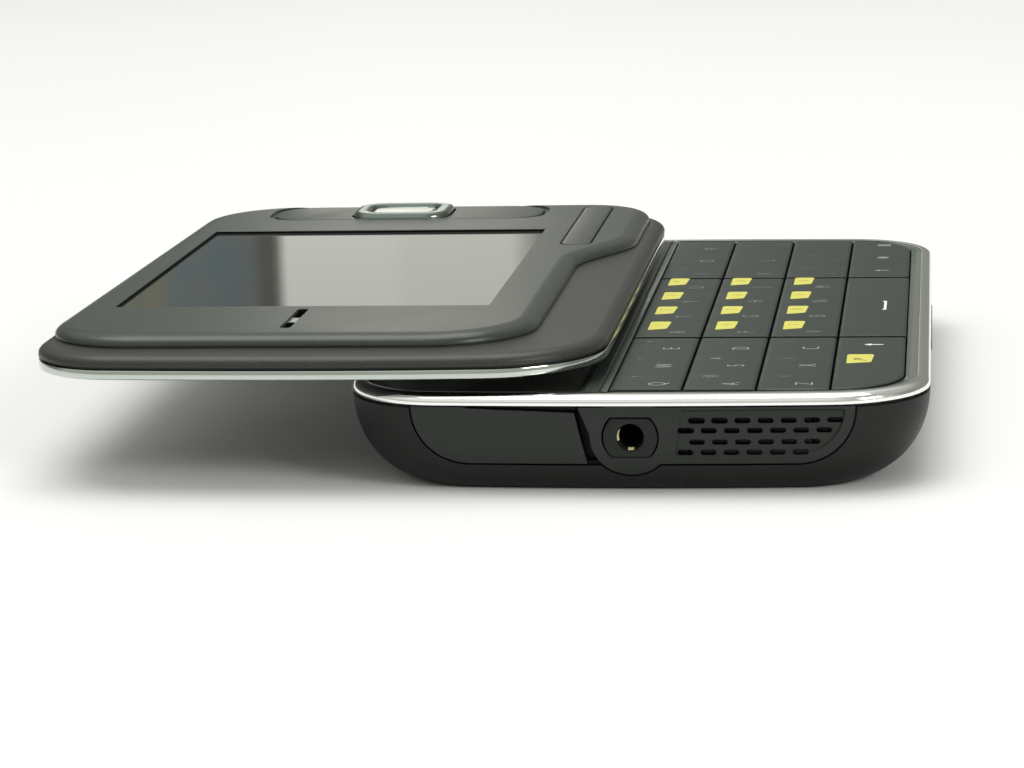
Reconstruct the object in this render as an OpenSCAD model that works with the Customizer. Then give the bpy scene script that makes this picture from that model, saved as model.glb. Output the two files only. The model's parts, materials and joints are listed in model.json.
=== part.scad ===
// Slider phone with a landscape keypad, drawn open as it lies on a table.
// Millimetres, +Z up. Origin: middle of the lower half's underside.
// The lower half lies along Y; the upper half slides along X and closes towards +X.

/* [Body] */
// Width of the phone across its short side
body_w = 57.5; // [56:0.5:72]
// Length of the phone
body_l = 97.5; // [92:0.5:120]
// Radius of the corners in plan
corner_r = 10; // [9:0.5:13]
// How far the short ends bow out in the middle
end_bow = 0.5; // [0.2:0.1:0.8]
// Wall of the lower housing
wall = 1.2; // [1:0.1:1.5]
// Width of the round flank under the long sides
side_round = 8; // [7:0.25:11]
// Width of the round under the short ends
end_round = 3.25; // [2:0.25:4.5]

/* [Battery] */
// Width of the battery
battery_w = 32; // [28:0.5:33]
// Length of the battery
battery_l = 54; // [40:1:56]
// Thickness of the battery
battery_t = 3.7; // [3:0.1:5]
// Thickness of the sliding battery cover
cover_t = 1.2; // [1:0.1:1.5]

/* [Keypad] */
// Height of one row of keys, gap included
row_pitch = 7.18; // [5.5:0.02:7.6]
// Gap between neighbouring keys
key_gap = 0.45; // [0.3:0.05:0.6]
// How far a key is pressed
key_travel = 0.3; // [0.2:0.05:0.35]
// How far the key tops stand above the polished trim
key_proud = 0.05; // [0:0.05:0.1]

/* [Headset socket] */
// Radius of the socket's bore, for a 2.5 mm plug
jack_r = 1.3; // [1.27:0.01:1.35]
// Depth of the socket's bore
jack_depth = 10.5; // [9:0.5:11]
// Radius of the plastic insert round the socket
insert_r = 2.65; // [2.4:0.05:2.8]

/* [Upper half] */
// Free height between the lower and the upper half
slide_gap = 1.4; // [1.3:0.05:1.8]
// Height of the polished strip round the upper half
strip_h = 1; // [0.8:0.1:1.4]
// Height of the dark cover's edge
cover_h = 1.4; // [1.3:0.1:1.8]
// Height of the raised face plate above the cover
face_rise = 1.3; // [1.1:0.1:1.6]
// Length of the display opening
window_l = 51.4; // [40:0.2:52]
// Width of the display opening
window_w = 39.4; // [32:0.2:40]
// Depth of the glass below the face plate
window_sink = 0.35; // [0.3:0.05:0.7]

/* [Fits] */
// Gap between pieces that are fixed to each other
fit = 0.05; // [0.03:0.01:0.08]
// Gap round pieces that move
run = 0.12; // [0.1:0.01:0.15]

/* [Hidden] */
$fn = 40;
corner_steps = 7;
half_w = body_w / 2;
half_l = body_l / 2;

// Heights in the lower half, from the table up
bay_floor = cover_t + 0.15;
battery_top = bay_floor + battery_t;
holder_h = 1;
board_z = battery_top + fit + holder_h;
board_t = 0.8;
board_top = board_z + board_t;
dome_t = 0.15;
mat_z = board_top + 0.35;
mat_t = 0.45;
key_z = mat_z + mat_t + key_travel + 0.05;
frame_z = mat_z + mat_t + 0.2;
housing_h = frame_z + 0.85;
rim_h = 1.1;
rim_top = housing_h + rim_h;
key_top = rim_top + key_proud;
frame_top = rim_top - 0.2;
deck_z = housing_h + 0.3;
floor_t = 0.65;
cavity_z = cover_t + floor_t;

// Trim and keypad in plan
trim_side = 1.35;
trim_end = 1.9;
band = 1.1;
key_margin_x = trim_side + band;
key_margin_y = trim_end + 0.55;
rows = 4;
cols = 10;
col_pitch = (body_l - 2 * key_margin_y) / cols;
pad_w = rows * row_pitch;
pad_x1 = half_w - key_margin_x;
pad_x0 = pad_x1 - pad_w;
deck_x1 = pad_x0 - 2.45;
cavity_x = half_w - 2.2;
cavity_y = half_l - 2.75;
cavity_shift = 0.5;
cavity_near = -cavity_y + cavity_shift;
cavity_far = cavity_y + cavity_shift;
inner_x = cavity_x - 0.9;

// Slide: the upper half clears the keypad when it is open
travel = pad_w + key_margin_x + 0.85;
slider_z = rim_top + slide_gap;
strip_top = slider_z + strip_h;
cover_top = strip_top + cover_h;
face_top = cover_top + face_rise;
slider_l = body_l - 1.1;
slider_half = slider_l / 2;
slider_r = corner_r + 2;
slider_rl = corner_r - 1;

// Near end: headset socket, charging door and loudspeaker grille
jack_x = -0.1;
jack_z = housing_h - 3.09;
jack_mouth = -half_l + 0.2;
block_near = cavity_near + 0.15;
panel_back = -half_l + 1.8;
panel_top = housing_h - 0.1;
panel_low = housing_h - 5.85;
panel_x = min(21.6, half_w - 7.15);
panel_round = 5.6;
lobe_r = 3.93;
seam = 0.12;

// Lower half inside
bay_y0 = -22;
bay_y1 = bay_y0 + battery_l + 0.3;
bay_x = battery_w / 2 + 0.15;
cover_x = bay_x + 1.85;
cover_y0 = bay_y0 - 2;
screw_x = [13.5, 15.5];
screw_y = [-30.5, half_l - 7.25];
screw_r = 0.7;
boss_r = 2.2;
camera_y = bay_y1 + 5.9;
lens_r = 2.6;

// Upper half in plan, measured from its own middle
face_left = -half_w + 0.7;
face_taper = 0.7;
face_near = -slider_half + 4.7;
face_narrow = half_w - 7.3;
face_wide = half_w - 1.9;
face_far = slider_half - 3.2;
step_y0 = 3;
step_y1 = 20;
window_x0 = face_left + 4.25;
window_y0 = face_near + 16.5;
navi_x = -3.35;
navi_y = face_far - 6.6;
navi_w = 11.8;
navi_l = 10;
rail_y = 26;
rail_x = half_w - 3.2;
wire_r = 0.2;

// ---- Outlines and solids that several pieces share ----

// Round corner of radius r, from the side to where the bowed end of a plan outline begins
function plan_corner(hx, hy, r, bow) =
    let (
        tilt = atan(2 * bow / (hx - r)),
        cy = hy - bow * pow(1 + r * sin(tilt) / (hx - r), 2) - r * cos(tilt)
    )
    [for (i = [0:corner_steps])
        let (a = (90 - tilt) * i / corner_steps) [hx - r + r * cos(a), cy + r * sin(a)]];

function reversed(pts) = [for (i = [len(pts) - 1:-1:0]) pts[i]];

// Closed plan outline: straight long sides, bowed short ends, corners of radius r at the
// right and rl at the left
function plan(hx, hy, r, rl = undef, bow = end_bow) =
    let (
        right = plan_corner(hx, hy, r, bow),
        left = [for (p = plan_corner(hx, hy, is_undef(rl) ? r : rl, bow)) [-p.x, p.y]],
        mid_y = hy - bow / 4,
        mid_x = (hx - r) / 2
    )
    concat(
        right,
        [[mid_x, mid_y], [0, hy], [-mid_x, mid_y]],
        reversed(left),
        [for (p = left) [p.x, -p.y]],
        [[-mid_x, -mid_y], [0, -hy], [mid_x, -mid_y]],
        [for (p = reversed(right)) [p.x, -p.y]]
    );

// Plan outline moved in from the phone's own by dx at the sides and dy at the ends
function inner_plan(dx, dy) = plan(half_w - dx, half_l - dy, corner_r - (dx + dy) / 2);

// Plan outline of the upper half, moved in by d
function slider_plan(d) = plan(half_w - d, slider_half - d, slider_r - d, slider_rl - d);

// Outline in plan lifted to height z, as one ring of a loft
function ring(pts, z) = [for (p = pts) [p.x, p.y, z]];

// Rectangle with its middle at the origin, as an outline
function oblong(w, l) = [[w / 2, -l / 2], [w / 2, l / 2], [-w / 2, l / 2], [-w / 2, -l / 2]];

// Outline of a rectangle with round corners
function round_oblong(w, l, r, steps = 5) =
    [for (q = [0:3], i = [0:steps])
        let (
            a = 90 * (q + i / steps),
            sx = (q == 0 || q == 3) ? 1 : -1,
            sy = (q < 2) ? 1 : -1
        )
        [sx * (w / 2 - r) + r * cos(a), sy * (l / 2 - r) + r * sin(a)]];

// Outline moved by a vector
function moved(pts, v) = [for (p = pts) p + v];

// Solid through a stack of rings with equal numbers of points
module loft(rings) {
    n = len(rings[0]);
    m = len(rings);
    polyhedron(
        points = [for (r = rings) each r],
        faces = concat(
            [[for (i = [0:n - 1]) i]],
            [[for (i = [n - 1:-1:0]) (m - 1) * n + i]],
            [for (j = [0:m - 2], i = [0:n - 1]) [j * n + i, (j + 1) * n + i, (j + 1) * n + (i + 1) % n]],
            [for (j = [0:m - 2], i = [0:n - 1])
                [j * n + i, (j + 1) * n + (i + 1) % n, j * n + (i + 1) % n]]
        )
    );
}

// Straight-walled solid on an outline, from z0 to z1
module slab(pts, z0, z1) {
    translate([0, 0, z0])
        linear_extrude(z1 - z0)
            polygon(pts);
}

// Box between two corners
module block(low, high) {
    translate(low)
        cube(high - low);
}

// Outline drawn in X and Z, extruded along Y from y0 to y1
module along_y(pts, y0, y1) {
    translate([0, y1, 0])
        rotate([90, 0, 0])
            linear_extrude(y1 - y0)
                polygon(pts);
}

// Outline drawn in Y and Z, extruded along X from x0 to x1
module along_x(pts, x0, x1) {
    translate([x0, 0, 0])
        rotate([90, 0, 90])
            linear_extrude(x1 - x0)
                polygon(pts);
}

// Round bar along Y
module bar_y(x, z, r, y0, y1) {
    translate([x, y1, z])
        rotate([90, 0, 0])
            cylinder(r = r, h = y1 - y0);
}

// Everything of the upper half is drawn about its own middle and stands open
module upper() {
    translate([-travel, 0, 0])
        children();
}

// ---- Lower housing ----

// How far a round flank of width w has drawn in at height z; p sets its fullness
function drawn_in(z, w, p) =
    let (t = max(0, min(1, 1 - z / housing_h)))
    w * (1 - pow(1 - pow(t, p), 1 / p));

function bowl_x(z) = half_w - drawn_in(z, side_round, 2.1);

function bowl_y(z) = half_l - drawn_in(z, end_round, 2);

function bowl_ring(z) =
    ring(plan(bowl_x(z), bowl_y(z), corner_r - 0.5 * (half_w - bowl_x(z))), z);

// Outside of the lower housing, filled
module bowl() {
    loft([for (k = [0, 0.03, 0.08, 0.16, 0.26, 0.38, 0.52, 0.68, 0.84, 1]) bowl_ring(k * housing_h)]);
}

function cavity_ring(z, at) =
    let (x = min(bowl_x(z) - wall, cavity_x))
    ring(moved(plan(x, min(bowl_y(z) - wall, cavity_y), corner_r - 2.5), [0, cavity_shift]), at);

// Plan area of the boards and sheets inside the hollow, from z0 to z1
module inner_area(z0, z1) {
    slab(moved(plan(inner_x, cavity_y - 0.3, corner_r - 3.2), [0, cavity_shift]), z0, z1);
}

// Hollow of the lower housing
module cavity() {
    loft([
        for (k = [0, 0.2, 0.45, 0.7, 1])
            let (z = cavity_z + k * (housing_h - cavity_z)) cavity_ring(z, z + (k == 1 ? 1 : 0))
    ]);
}

// Left and right halves of the inlay in the near end, in X and Z, grown by d
function inlay_curve(side, d) =
    [for (i = [0:8])
        let (a = 90 * i / 8)
        [side * (panel_x - panel_round + (panel_round + d) * cos(a)),
         panel_low + panel_round - (panel_round + d) * sin(a)]];

// Outline of the whole inlay, door and panel together
function inlay_outline(d) = concat(
    [[-panel_x - d, panel_top]],
    inlay_curve(-1, d),
    reversed(inlay_curve(1, d)),
    [[panel_x + d, panel_top]]
);

// The door ends a little short of the socket's round lobe
function door_outline(d) = concat(
    [[door_edge + d, panel_top], [-panel_x - d, panel_top]],
    inlay_curve(-1, d),
    [[door_edge + 1.05 + d, panel_low - d], [door_edge + 0.35 + d, jack_z - 0.4]]
);

function panel_outline(d) = concat(
    [[panel_x + d, panel_top]],
    inlay_curve(1, d),
    [[jack_x, panel_low - d], [jack_x - 3.95 + seam - d, jack_z], [jack_x - 5.15 + seam - d, panel_top]]
);

module lobe(d, y0, y1) {
    bar_y(jack_x, jack_z, lobe_r + d, y0, y1);
}

// Outline of the socket's insert: a circle with its top and bottom cut flat
module insert_shape(d, y0, y1) {
    intersection() {
        bar_y(jack_x, jack_z, insert_r + d, y0, y1);
        block(
            [jack_x - 5, y0 - 1, jack_z - insert_r * 0.73 - d],
            [jack_x + 5, y1 + 1, jack_z + insert_r * 0.71 + d]
        );
    }
}

// Door over the charging socket: it pulls straight out and stays on a tongue with a head
door_back = panel_back - 0.05;
door_edge = jack_x - 5.35;
nail_x = -16.4;
door_travel = 6;
tongue_x = -18.4;
tongue_w = 1.8;
tongue_z = jack_z - 0.45;
tongue_t = 0.6;
tongue_end = cavity_near + door_travel + 0.8;

module lower_housing() {
    color("#1d1e1d")
        difference() {
            union() {
                difference() {
                    bowl();
                    cavity();
                }
                for (i = [0, 1], s = [-1, 1]) {
                    translate([s * screw_x[i], screw_y[i], cavity_z - 0.3])
                        cylinder(r = boss_r, h = board_z - cavity_z + 0.3);
                }
            }
            // Seats of the door, the panel and the socket in the near end
            along_y(inlay_outline(seam), -half_l - 2, panel_back);
            lobe(seam, -half_l - 2, panel_back);
            insert_shape(0.5, panel_back - 1, cavity_near + 1);
            // Windows behind the grille and round the charging socket
            block([5.4, panel_back - 1, jack_z - 2], [17.6, cavity_near + 1, jack_z + 2.2]);
            block(
                [usb_x - usb_w / 2 - 0.1, panel_back - 1, usb_z - 0.1],
                [usb_x + usb_w / 2 + 0.1, cavity_near + 1, board_z + 0.1]
            );
            // Room for the keys over the end walls
            pad_outline(0.2, key_z - key_travel - 0.1, 20);
            // Slot for the door's tongue
            block(
                [tongue_x - tongue_w / 2 - run, panel_back - 1, tongue_z - run],
                [tongue_x + tongue_w / 2 + run, cavity_near + 1, tongue_z + tongue_t + run]
            );
            // Seat of the sliding battery cover, open at the far end
            block([-cover_x - run, cover_y0 - run, -1], [cover_x + run, half_l + 1, cover_t + 0.05]);
            // Battery bay
            block([-bay_x, bay_y0 - 0.15, -1], [bay_x, bay_y1, cavity_z + 0.1]);
            // Camera hole
            translate([0, camera_y, -1])
                cylinder(r = lens_r + 0.3, h = 5);
            // Screw holes
            for (i = [0, 1], s = [-1, 1]) {
                translate([s * screw_x[i], screw_y[i], -1])
                    cylinder(r = screw_r + fit, h = board_z + 2);
                translate([s * screw_x[i], screw_y[i], -1])
                    cylinder(r = 1.5, h = cavity_z + 1.3);
            }
            // Slots for the side keys
            side_slot(volume_y, volume_l, 1);
            side_slot(shutter_y, shutter_l, -1);
        }
}

// ---- Side keys ----

volume_y = 5;
volume_l = 22;
shutter_y = half_l - 17;
shutter_l = 10;
side_key_z = housing_h - 2.2;
side_key_h = 1.7;
side_key_proud = 0.3;
side_key_travel = 0.2;

module side_slot(y, l, s) {
    block(
        [min(s * (cavity_x - 1), s * (half_w + 1)), y - l / 2 - run, side_key_z - side_key_h / 2 - run],
        [max(s * (cavity_x - 1), s * (half_w + 1)), y + l / 2 + run, side_key_z + side_key_h / 2 + run]
    );
}

// Bar with a round outer face, and a flange inside the wall that keeps it in
module side_key(y, l, s) {
    outer = bowl_x(side_key_z) + side_key_proud;
    inner = cavity_x - 0.15;
    translate([0, y, side_key_z])
        mirror([s < 0 ? 1 : 0, 0, 0]) {
            along_x(round_oblong(l, side_key_h, 0.7), inner, outer - 0.25);
            along_x(round_oblong(l - 0.5, side_key_h - 0.5, 0.55), inner, outer);
            block([inner - 0.4, -l / 2 - 0.6, -side_key_h / 2 - 0.3], [inner, l / 2 + 0.6, side_key_h / 2 + 0.3]);
        }
}

module volume_key() {
    color("#5a5e5b") side_key(volume_y, volume_l, 1);
}

module camera_key() {
    color("#5a5e5b") side_key(shutter_y, shutter_l, -1);
}

// ---- Trim and keypad frame ----

module base_trim() {
    color("#e6e6e2")
        difference() {
            loft([
                ring(inner_plan(0, 0), housing_h),
                ring(inner_plan(0, 0), housing_h + 0.3),
                ring(inner_plan(0.1, 0.12), housing_h + 0.62),
                ring(inner_plan(0.4, 0.5), housing_h + 0.9),
                ring(inner_plan(0.85, 1.1), rim_top)
            ]);
            slab(inner_plan(trim_side, trim_end), housing_h - 1, rim_top + 1);
        }
}

// Outline of the whole key field, with the body's own round corners at the right
module pad_outline(d, z0, z1) {
    intersection() {
        slab(inner_plan(key_margin_x - d, key_margin_y - d), z0, z1);
        block([pad_x0 - d, -half_l, z0 - 1], [half_w, half_l, z1 + 1]);
    }
}

module keypad_frame() {
    color("#2c3430")
        difference() {
            union() {
                slab(inner_plan(trim_side + fit, trim_end + fit), housing_h, frame_top);
                slab(
                    moved(plan(cavity_x - 0.1, cavity_y - 0.1, corner_r - 2.6), [0, cavity_shift]),
                    frame_z, housing_h + 0.1
                );
            }
            pad_outline(0.15, 0, 20);
            // Sunken deck under the upper half
            block([-half_w, -half_l, deck_z], [deck_x1, half_l, 20]);
            // Slot for the flat cable
            block([flex_x - 0.3, -flex_w / 2 - 0.3, 0], [flex_x + 0.3, flex_w / 2 + 0.3, 20]);
            for (i = [0, 1]) {
                translate([-screw_x[i], screw_y[i], frame_z - 1])
                    cylinder(r = screw_r + fit, h = 1.75);
            }
        }
}

// ---- Keys ----

// A plate of keys: row and columns it spans; its top edges are bevelled
module key_plate(row, col0, count) {
    x0 = pad_x0 + row * row_pitch + key_gap / 2;
    y0 = -half_l + key_margin_y + col0 * col_pitch + key_gap / 2;
    w = row_pitch - key_gap;
    l = count * col_pitch - key_gap;
    at = [x0 + w / 2, y0 + l / 2];
    color("#3d4441")
        intersection() {
            loft([
                ring(moved(oblong(w, l), at), key_z),
                ring(moved(oblong(w, l), at), key_top - 0.25),
                ring(moved(oblong(w - 0.2, l - 0.2), at), key_top - 0.07),
                ring(moved(oblong(w - 0.6, l - 0.6), at), key_top)
            ]);
            slab(inner_plan(key_margin_x + 0.02, key_margin_y + 0.02), 0, 20);
        }
}

module dome_sheet() {
    color("#c9b98a")
        difference() {
            union() {
                intersection() {
                    pad_outline(-0.4, board_top + fit, board_top + fit + dome_t);
                    inner_area(0, 20);
                }
                for (r = [0:rows - 1], c = [0:cols - 1]) {
                    translate([
                        pad_x0 + (r + 0.5) * row_pitch,
                        -half_l + key_margin_y + (c + 0.5) * col_pitch,
                        board_top + fit + dome_t / 2
                    ])
                        cylinder(r1 = 1.7, r2 = 1.1, h = dome_t / 2 + 0.12, $fn = 16);
                }
            }
            jack_notch();
        }
}

module key_mat() {
    color("#b9bcb8")
        intersection() {
            pad_outline(-0.25, mat_z, mat_z + mat_t);
            inner_area(0, 20);
        }
}

// ---- Near end ----

slot_l = 1.62;
slot_h = 0.6;
slot_pitch = 2.22;
row_drop = 1.03;
// First slot's left end and count of slots in each row, from the top
slot_rows = [[5.5, 7], [4.45, 7], [5.5, 6], [4.45, 6]];

// One slot of the grille, a bar with round ends
module grille_slot(x, z) {
    along_y(moved(round_oblong(slot_l, slot_h, 0.27, 2), [x + slot_l / 2, z]), -half_l - 1, panel_back + 1);
}

module end_panel() {
    color("#2b302e")
        difference() {
            intersection() {
                bowl();
                union() {
                    along_y(panel_outline(0), -half_l - 2, panel_back - 0.1);
                    lobe(0, -half_l - 2, panel_back - 0.1);
                }
            }
            insert_shape(fit, -half_l - 3, panel_back + 1);
            for (k = [0:3], i = [0:slot_rows[k][1] - 1]) {
                grille_slot(slot_rows[k][0] + i * slot_pitch, jack_z + 1.5 - k * row_drop);
            }
            // The grille's field lies a little deeper than the rest of the panel
            along_y(
                concat([[panel_x - 0.85, panel_top - 0.45]], inlay_curve(1, -0.85),
                    [[jack_x + 4.45, panel_low + 0.85], [jack_x + 5.2, panel_top - 0.45]]),
                -half_l - 1, -half_l + 0.25
            );
        }
}

module speaker_mesh() {
    color("#3a3a3a")
        block([5.6, panel_back + 0.1, jack_z - 1.9], [17.4, panel_back + 0.3, jack_z + 2.1]);
}

module loudspeaker() {
    color("#8c8f92")
        difference() {
            block([5.6, cavity_near + 0.5, jack_z - 2.6], [16.8, cavity_near + 8.5, board_z - fit]);
            translate([11.2, cavity_near + 4.5, jack_z - 3.3])
                cylinder(r = 3, h = 1);
        }
}

// Socket: insert at the front, block behind it, one blind bore through both
module jack_insert() {
    color("#161616")
        difference() {
            union() {
                insert_shape(0, jack_mouth, block_near);
                block(
                    [jack_x - 3, block_near, jack_z - 2.2],
                    [jack_x + 3, jack_mouth + jack_depth + 1, jack_z + jack_r + 0.2]
                );
            }
            bar_y(jack_x, jack_z, jack_r, jack_mouth - 1, jack_mouth + jack_depth);
            for (k = [0:2]) {
                contact(k, 0.06);
            }
        }
}

// Spring contact k of the socket, set into the wall of the bore
module contact(k, d) {
    y = jack_mouth + [3.2, 5.6, 8][k];
    translate([jack_x, 0, jack_z])
        rotate([0, [0, 180, 90][k], 0])
            block([jack_r + 0.05 - 3 * d, y - d, -0.45 - d], [jack_r + 0.4 + d, y + 1.8 + d, 0.45 + d]);
}

module jack_contacts() {
    color("#c9a045")
        for (k = [0:2]) {
            contact(k, 0);
        }
}

usb_x = -13;
usb_w = 7.6;
usb_h = 2.5;
usb_l = 5.6;
usb_z = board_z - fit - usb_h;
usb_y = panel_back + 0.25;

module usb_socket() {
    color("#b8bbbd")
        union() {
            difference() {
                block([usb_x - usb_w / 2, usb_y, usb_z], [usb_x + usb_w / 2, usb_y + usb_l, usb_z + usb_h]);
                block(
                    [usb_x - usb_w / 2 + 0.3, usb_y - 1, usb_z + 0.3],
                    [usb_x + usb_w / 2 - 0.3, usb_y + usb_l - 0.8, usb_z + usb_h - 0.3]
                );
            }
            block([usb_x - 2.4, usb_y + 1, usb_z + 1.1], [usb_x + 2.4, usb_y + usb_l - 0.7, usb_z + 1.6]);
        }
}

module charger_door() {
    color("#2b302e")
        difference() {
            union() {
                intersection() {
                    bowl();
                    along_y(door_outline(-0.02), -half_l - 2, door_back);
                }
                // Tongue through the wall, with a head that stops the door when it is out
                block(
                    [tongue_x - tongue_w / 2, door_back - 0.1, tongue_z],
                    [tongue_x + tongue_w / 2, tongue_end, tongue_z + tongue_t]
                );
                block(
                    [tongue_x - tongue_w / 2 - 0.6, tongue_end, tongue_z - 0.2],
                    [tongue_x + tongue_w / 2 + 0.4, tongue_end + 0.8, tongue_z + tongue_t + 0.2]
                );
                // Plug that fills the mouth of the socket
                block(
                    [usb_x - usb_w / 2 + 0.6, door_back - 0.1, usb_z + 0.5],
                    [usb_x + usb_w / 2 - 0.6, usb_y - 0.05, usb_z + usb_h - 0.5]
                );
            }
            // Nail slot that widens along the top edge
            along_y(
                [[nail_x, panel_top], [0, panel_top - 0.75], [0, panel_top + 1], [nail_x, panel_top + 1]],
                -half_l - 2, -half_l + 0.9
            );
        }
}

// ---- Inside the lower half ----

module jack_notch() {
    block([jack_x - 3.3, -half_l, 0], [jack_x + 3.3, jack_mouth + jack_depth + 1.3, 20]);
}

module main_board() {
    color("#1f5a3a")
        difference() {
            inner_area(board_z, board_top);
            jack_notch();
            for (i = [0, 1], s = [-1, 1]) {
                translate([s * screw_x[i], screw_y[i], board_z - 1])
                    cylinder(r = screw_r + 0.1, h = board_t + 2);
            }
        }
}

can_x0 = bay_x + 1.1;
can_x1 = cavity_x - 1;

// Thin metal can, open towards the board
module shield_can(low, high) {
    difference() {
        block(low, high);
        block(low + [0.25, 0.25, 0.25], high + [-0.25, -0.25, 1]);
    }
}

module shield_cans() {
    color("#b9bcc0") {
        shield_can([can_x0, -24, board_z - 1.4], [can_x1, 6, board_z]);
        shield_can([can_x0, 8, board_z - 1.4], [can_x1, 27, board_z]);
        shield_can([-can_x1, -24, board_z - 1.4], [-can_x0, 2, board_z]);
    }
}

module battery_frame() {
    color("#26292b")
        difference() {
            block([-bay_x - 0.8, bay_y0 - 0.95, cavity_z], [bay_x + 0.8, bay_y1 + 0.8, board_z]);
            block([-bay_x, bay_y0 - 0.15, 0], [bay_x, bay_y1, board_z + 1]);
            // Opening for the contacts
            block([-5.2, bay_y0 - 2, cavity_z + 0.3], [5.2, bay_y0 + 1, board_z + 1]);
        }
}

module battery() {
    color("#3c4a5c")
        translate([0, bay_y0 + battery_l / 2, 0])
            slab(round_oblong(battery_w, battery_l, 1.5), bay_floor, battery_top);
}

module battery_contacts() {
    color("#c9a045") {
        block([-5, bay_y0 - 3.2, cavity_z + 0.4], [5, bay_y0 - 1, board_z]);
        for (x = [-3.2, 0, 3.2]) {
            block([x - 0.6, bay_y0 - 1, cavity_z + 1], [x + 0.6, bay_y0 - 0.05, cavity_z + 2.2]);
        }
    }
}

module camera_module() {
    color("#202224")
        difference() {
            union() {
                block([-4.2, camera_y - 4.2, cavity_z], [4.2, camera_y + 4.2, board_z]);
                translate([0, camera_y, cover_t + 0.15])
                    cylinder(r = lens_r, h = cavity_z - cover_t);
            }
            translate([0, camera_y, 0])
                cylinder(r = 1.1, h = cover_t + 0.9);
        }
}

module sim_holder() {
    color("#b0b4b8")
        difference() {
            block([0.5, -12, board_z - holder_h], [15.5, 10, board_z]);
            block([1, -13, board_z - holder_h + 0.2], [15, 9.5, board_z - 0.2]);
        }
}

module card_slot() {
    color("#b0b4b8")
        difference() {
            block([-15, -12, board_z - holder_h], [-2.5, 3, board_z]);
            block([-14.5, -13, board_z - holder_h + 0.2], [-3, 2.5, board_z - 0.2]);
        }
}

// Coin-sized motor lying along X with its off-centre weight at one end
module vibration_motor() {
    color("#9a9da0")
        translate([7.2, bay_y1 + 3.4, board_z - 2.1])
            rotate([0, 90, 0]) {
                cylinder(r = 2, h = 6);
                cylinder(r = 0.35, h = 6.6);
                translate([0, 0, 6.4])
                    intersection() {
                        cylinder(r = 1.8, h = 2);
                        block([0, -3, 0], [3, 3, 3]);
                    }
            }
}

module microphone() {
    color("#a8abad")
        translate([-20, half_l - 12.5, board_z - 1])
            cylinder(r = 1.9, h = 1);
}

module antenna() {
    color("#b8743c")
        block([-12.5, cavity_far - 2.6, board_z - 3.4], [12.5, cavity_far - 1, board_z]);
}

module housing_screws() {
    color("#8b8e90")
        for (i = [0, 1], s = [-1, 1]) {
            translate([s * screw_x[i], screw_y[i], cover_t + 0.1])
                difference() {
                    union() {
                        cylinder(r = 1.35, h = 0.8);
                        cylinder(r = screw_r, h = (s < 0 ? frame_z + 0.6 : board_top - fit) - cover_t);
                    }
                    translate([0, 0, -1])
                        cylinder(r = 0.6, h = 1.4, $fn = 6);
                }
        }
}

// Cover over the battery, drawn off towards the far end
module battery_cover() {
    color("#1d1e1d")
        difference() {
            intersection() {
                bowl();
                block([-cover_x, cover_y0, -1], [cover_x, half_l + 1, cover_t]);
            }
            translate([0, camera_y, -1])
                cylinder(r = lens_r, h = 5);
        }
}

// Window over the camera, fixed in the cover
module camera_window() {
    color("#31363b")
        translate([0, camera_y, 0.2])
            cylinder(r = lens_r - fit, h = 0.6);
}

// ---- Slide ----

plate_x0 = -half_w + trim_side + 0.9;
plate_x1 = deck_x1 - 0.6;
sheet = 0.25;
hook_z = rim_top + 0.25;
flange_z = hook_z + sheet + 0.13;
moving_z = slider_z - 0.3;

// Steel plate on the deck; its flanges stand up and outwards
module fixed_slide_plate() {
    color("#7d8184")
        difference() {
            union() {
                block([plate_x0, -rail_y + 3.6, deck_z], [plate_x1, rail_y - 3.6, deck_z + sheet]);
                for (s = [0, 1]) {
                    mirror([0, s, 0])
                        along_x([
                            [rail_y - 3.7, deck_z],
                            [rail_y - 3.4, deck_z],
                            [rail_y - 3.4, flange_z],
                            [rail_y - 0.5, flange_z],
                            [rail_y - 0.5, flange_z + sheet],
                            [rail_y - 3.7, flange_z + sheet]
                        ], plate_x0, plate_x1);
                    mirror([0, s, 0])
                        translate([plate_x1 - 2.5, pin_fixed_y, deck_z])
                            cylinder(r = 0.5, h = flange_z - deck_z);
                }
            }
            block([flex_x - 0.4, -flex_w / 2 - 0.4, 0], [plate_x1 + 1, flex_w / 2 + 0.4, 20]);
        }
}

// Steel plate on the upper half's back; its hooked edges run on the flanges
module moving_slide_plate() {
    color("#7d8184")
        upper()
            difference() {
                union() {
                    block([-rail_x, -rail_y, moving_z], [rail_x, rail_y, slider_z]);
                    for (s = [0, 1]) {
                        mirror([0, s, 0])
                            along_x([
                                [rail_y - sheet, moving_z + 0.1],
                                [rail_y - sheet, hook_z + sheet],
                                [rail_y - 2.3, hook_z + sheet],
                                [rail_y - 2.3, hook_z],
                                [rail_y, hook_z],
                                [rail_y, moving_z + 0.1]
                            ], -rail_x, rail_x);
                        mirror([0, s, 0])
                            translate([pin_moving_x, pin_moving_y, hook_z])
                                cylinder(r = 0.5, h = moving_z - hook_z + 0.1);
                    }
                }
                block(
                    [flex_end_x - 0.4, -flex_w / 2 - 0.4, 0],
                    [flex_end_x + 0.4, flex_w / 2 + 0.4, 20]
                );
                // Long windows that lighten the plate
                for (s = [-1, 1]) {
                    translate([0, s * 14.5, 0])
                        slab(moved(round_oblong(20, 6, 2), [-11, 0]), slider_z - 2, slider_z + 1);
                }
            }
}

flex_w = 12;
flex_t = 0.15;
flex_x = deck_x1 - 2.9;
flex_end_x = 12;
flex_low = deck_z + sheet + 0.1;
flex_high = moving_z - 0.35;
flex_bend_x = plate_x0 + 1.4;

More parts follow.
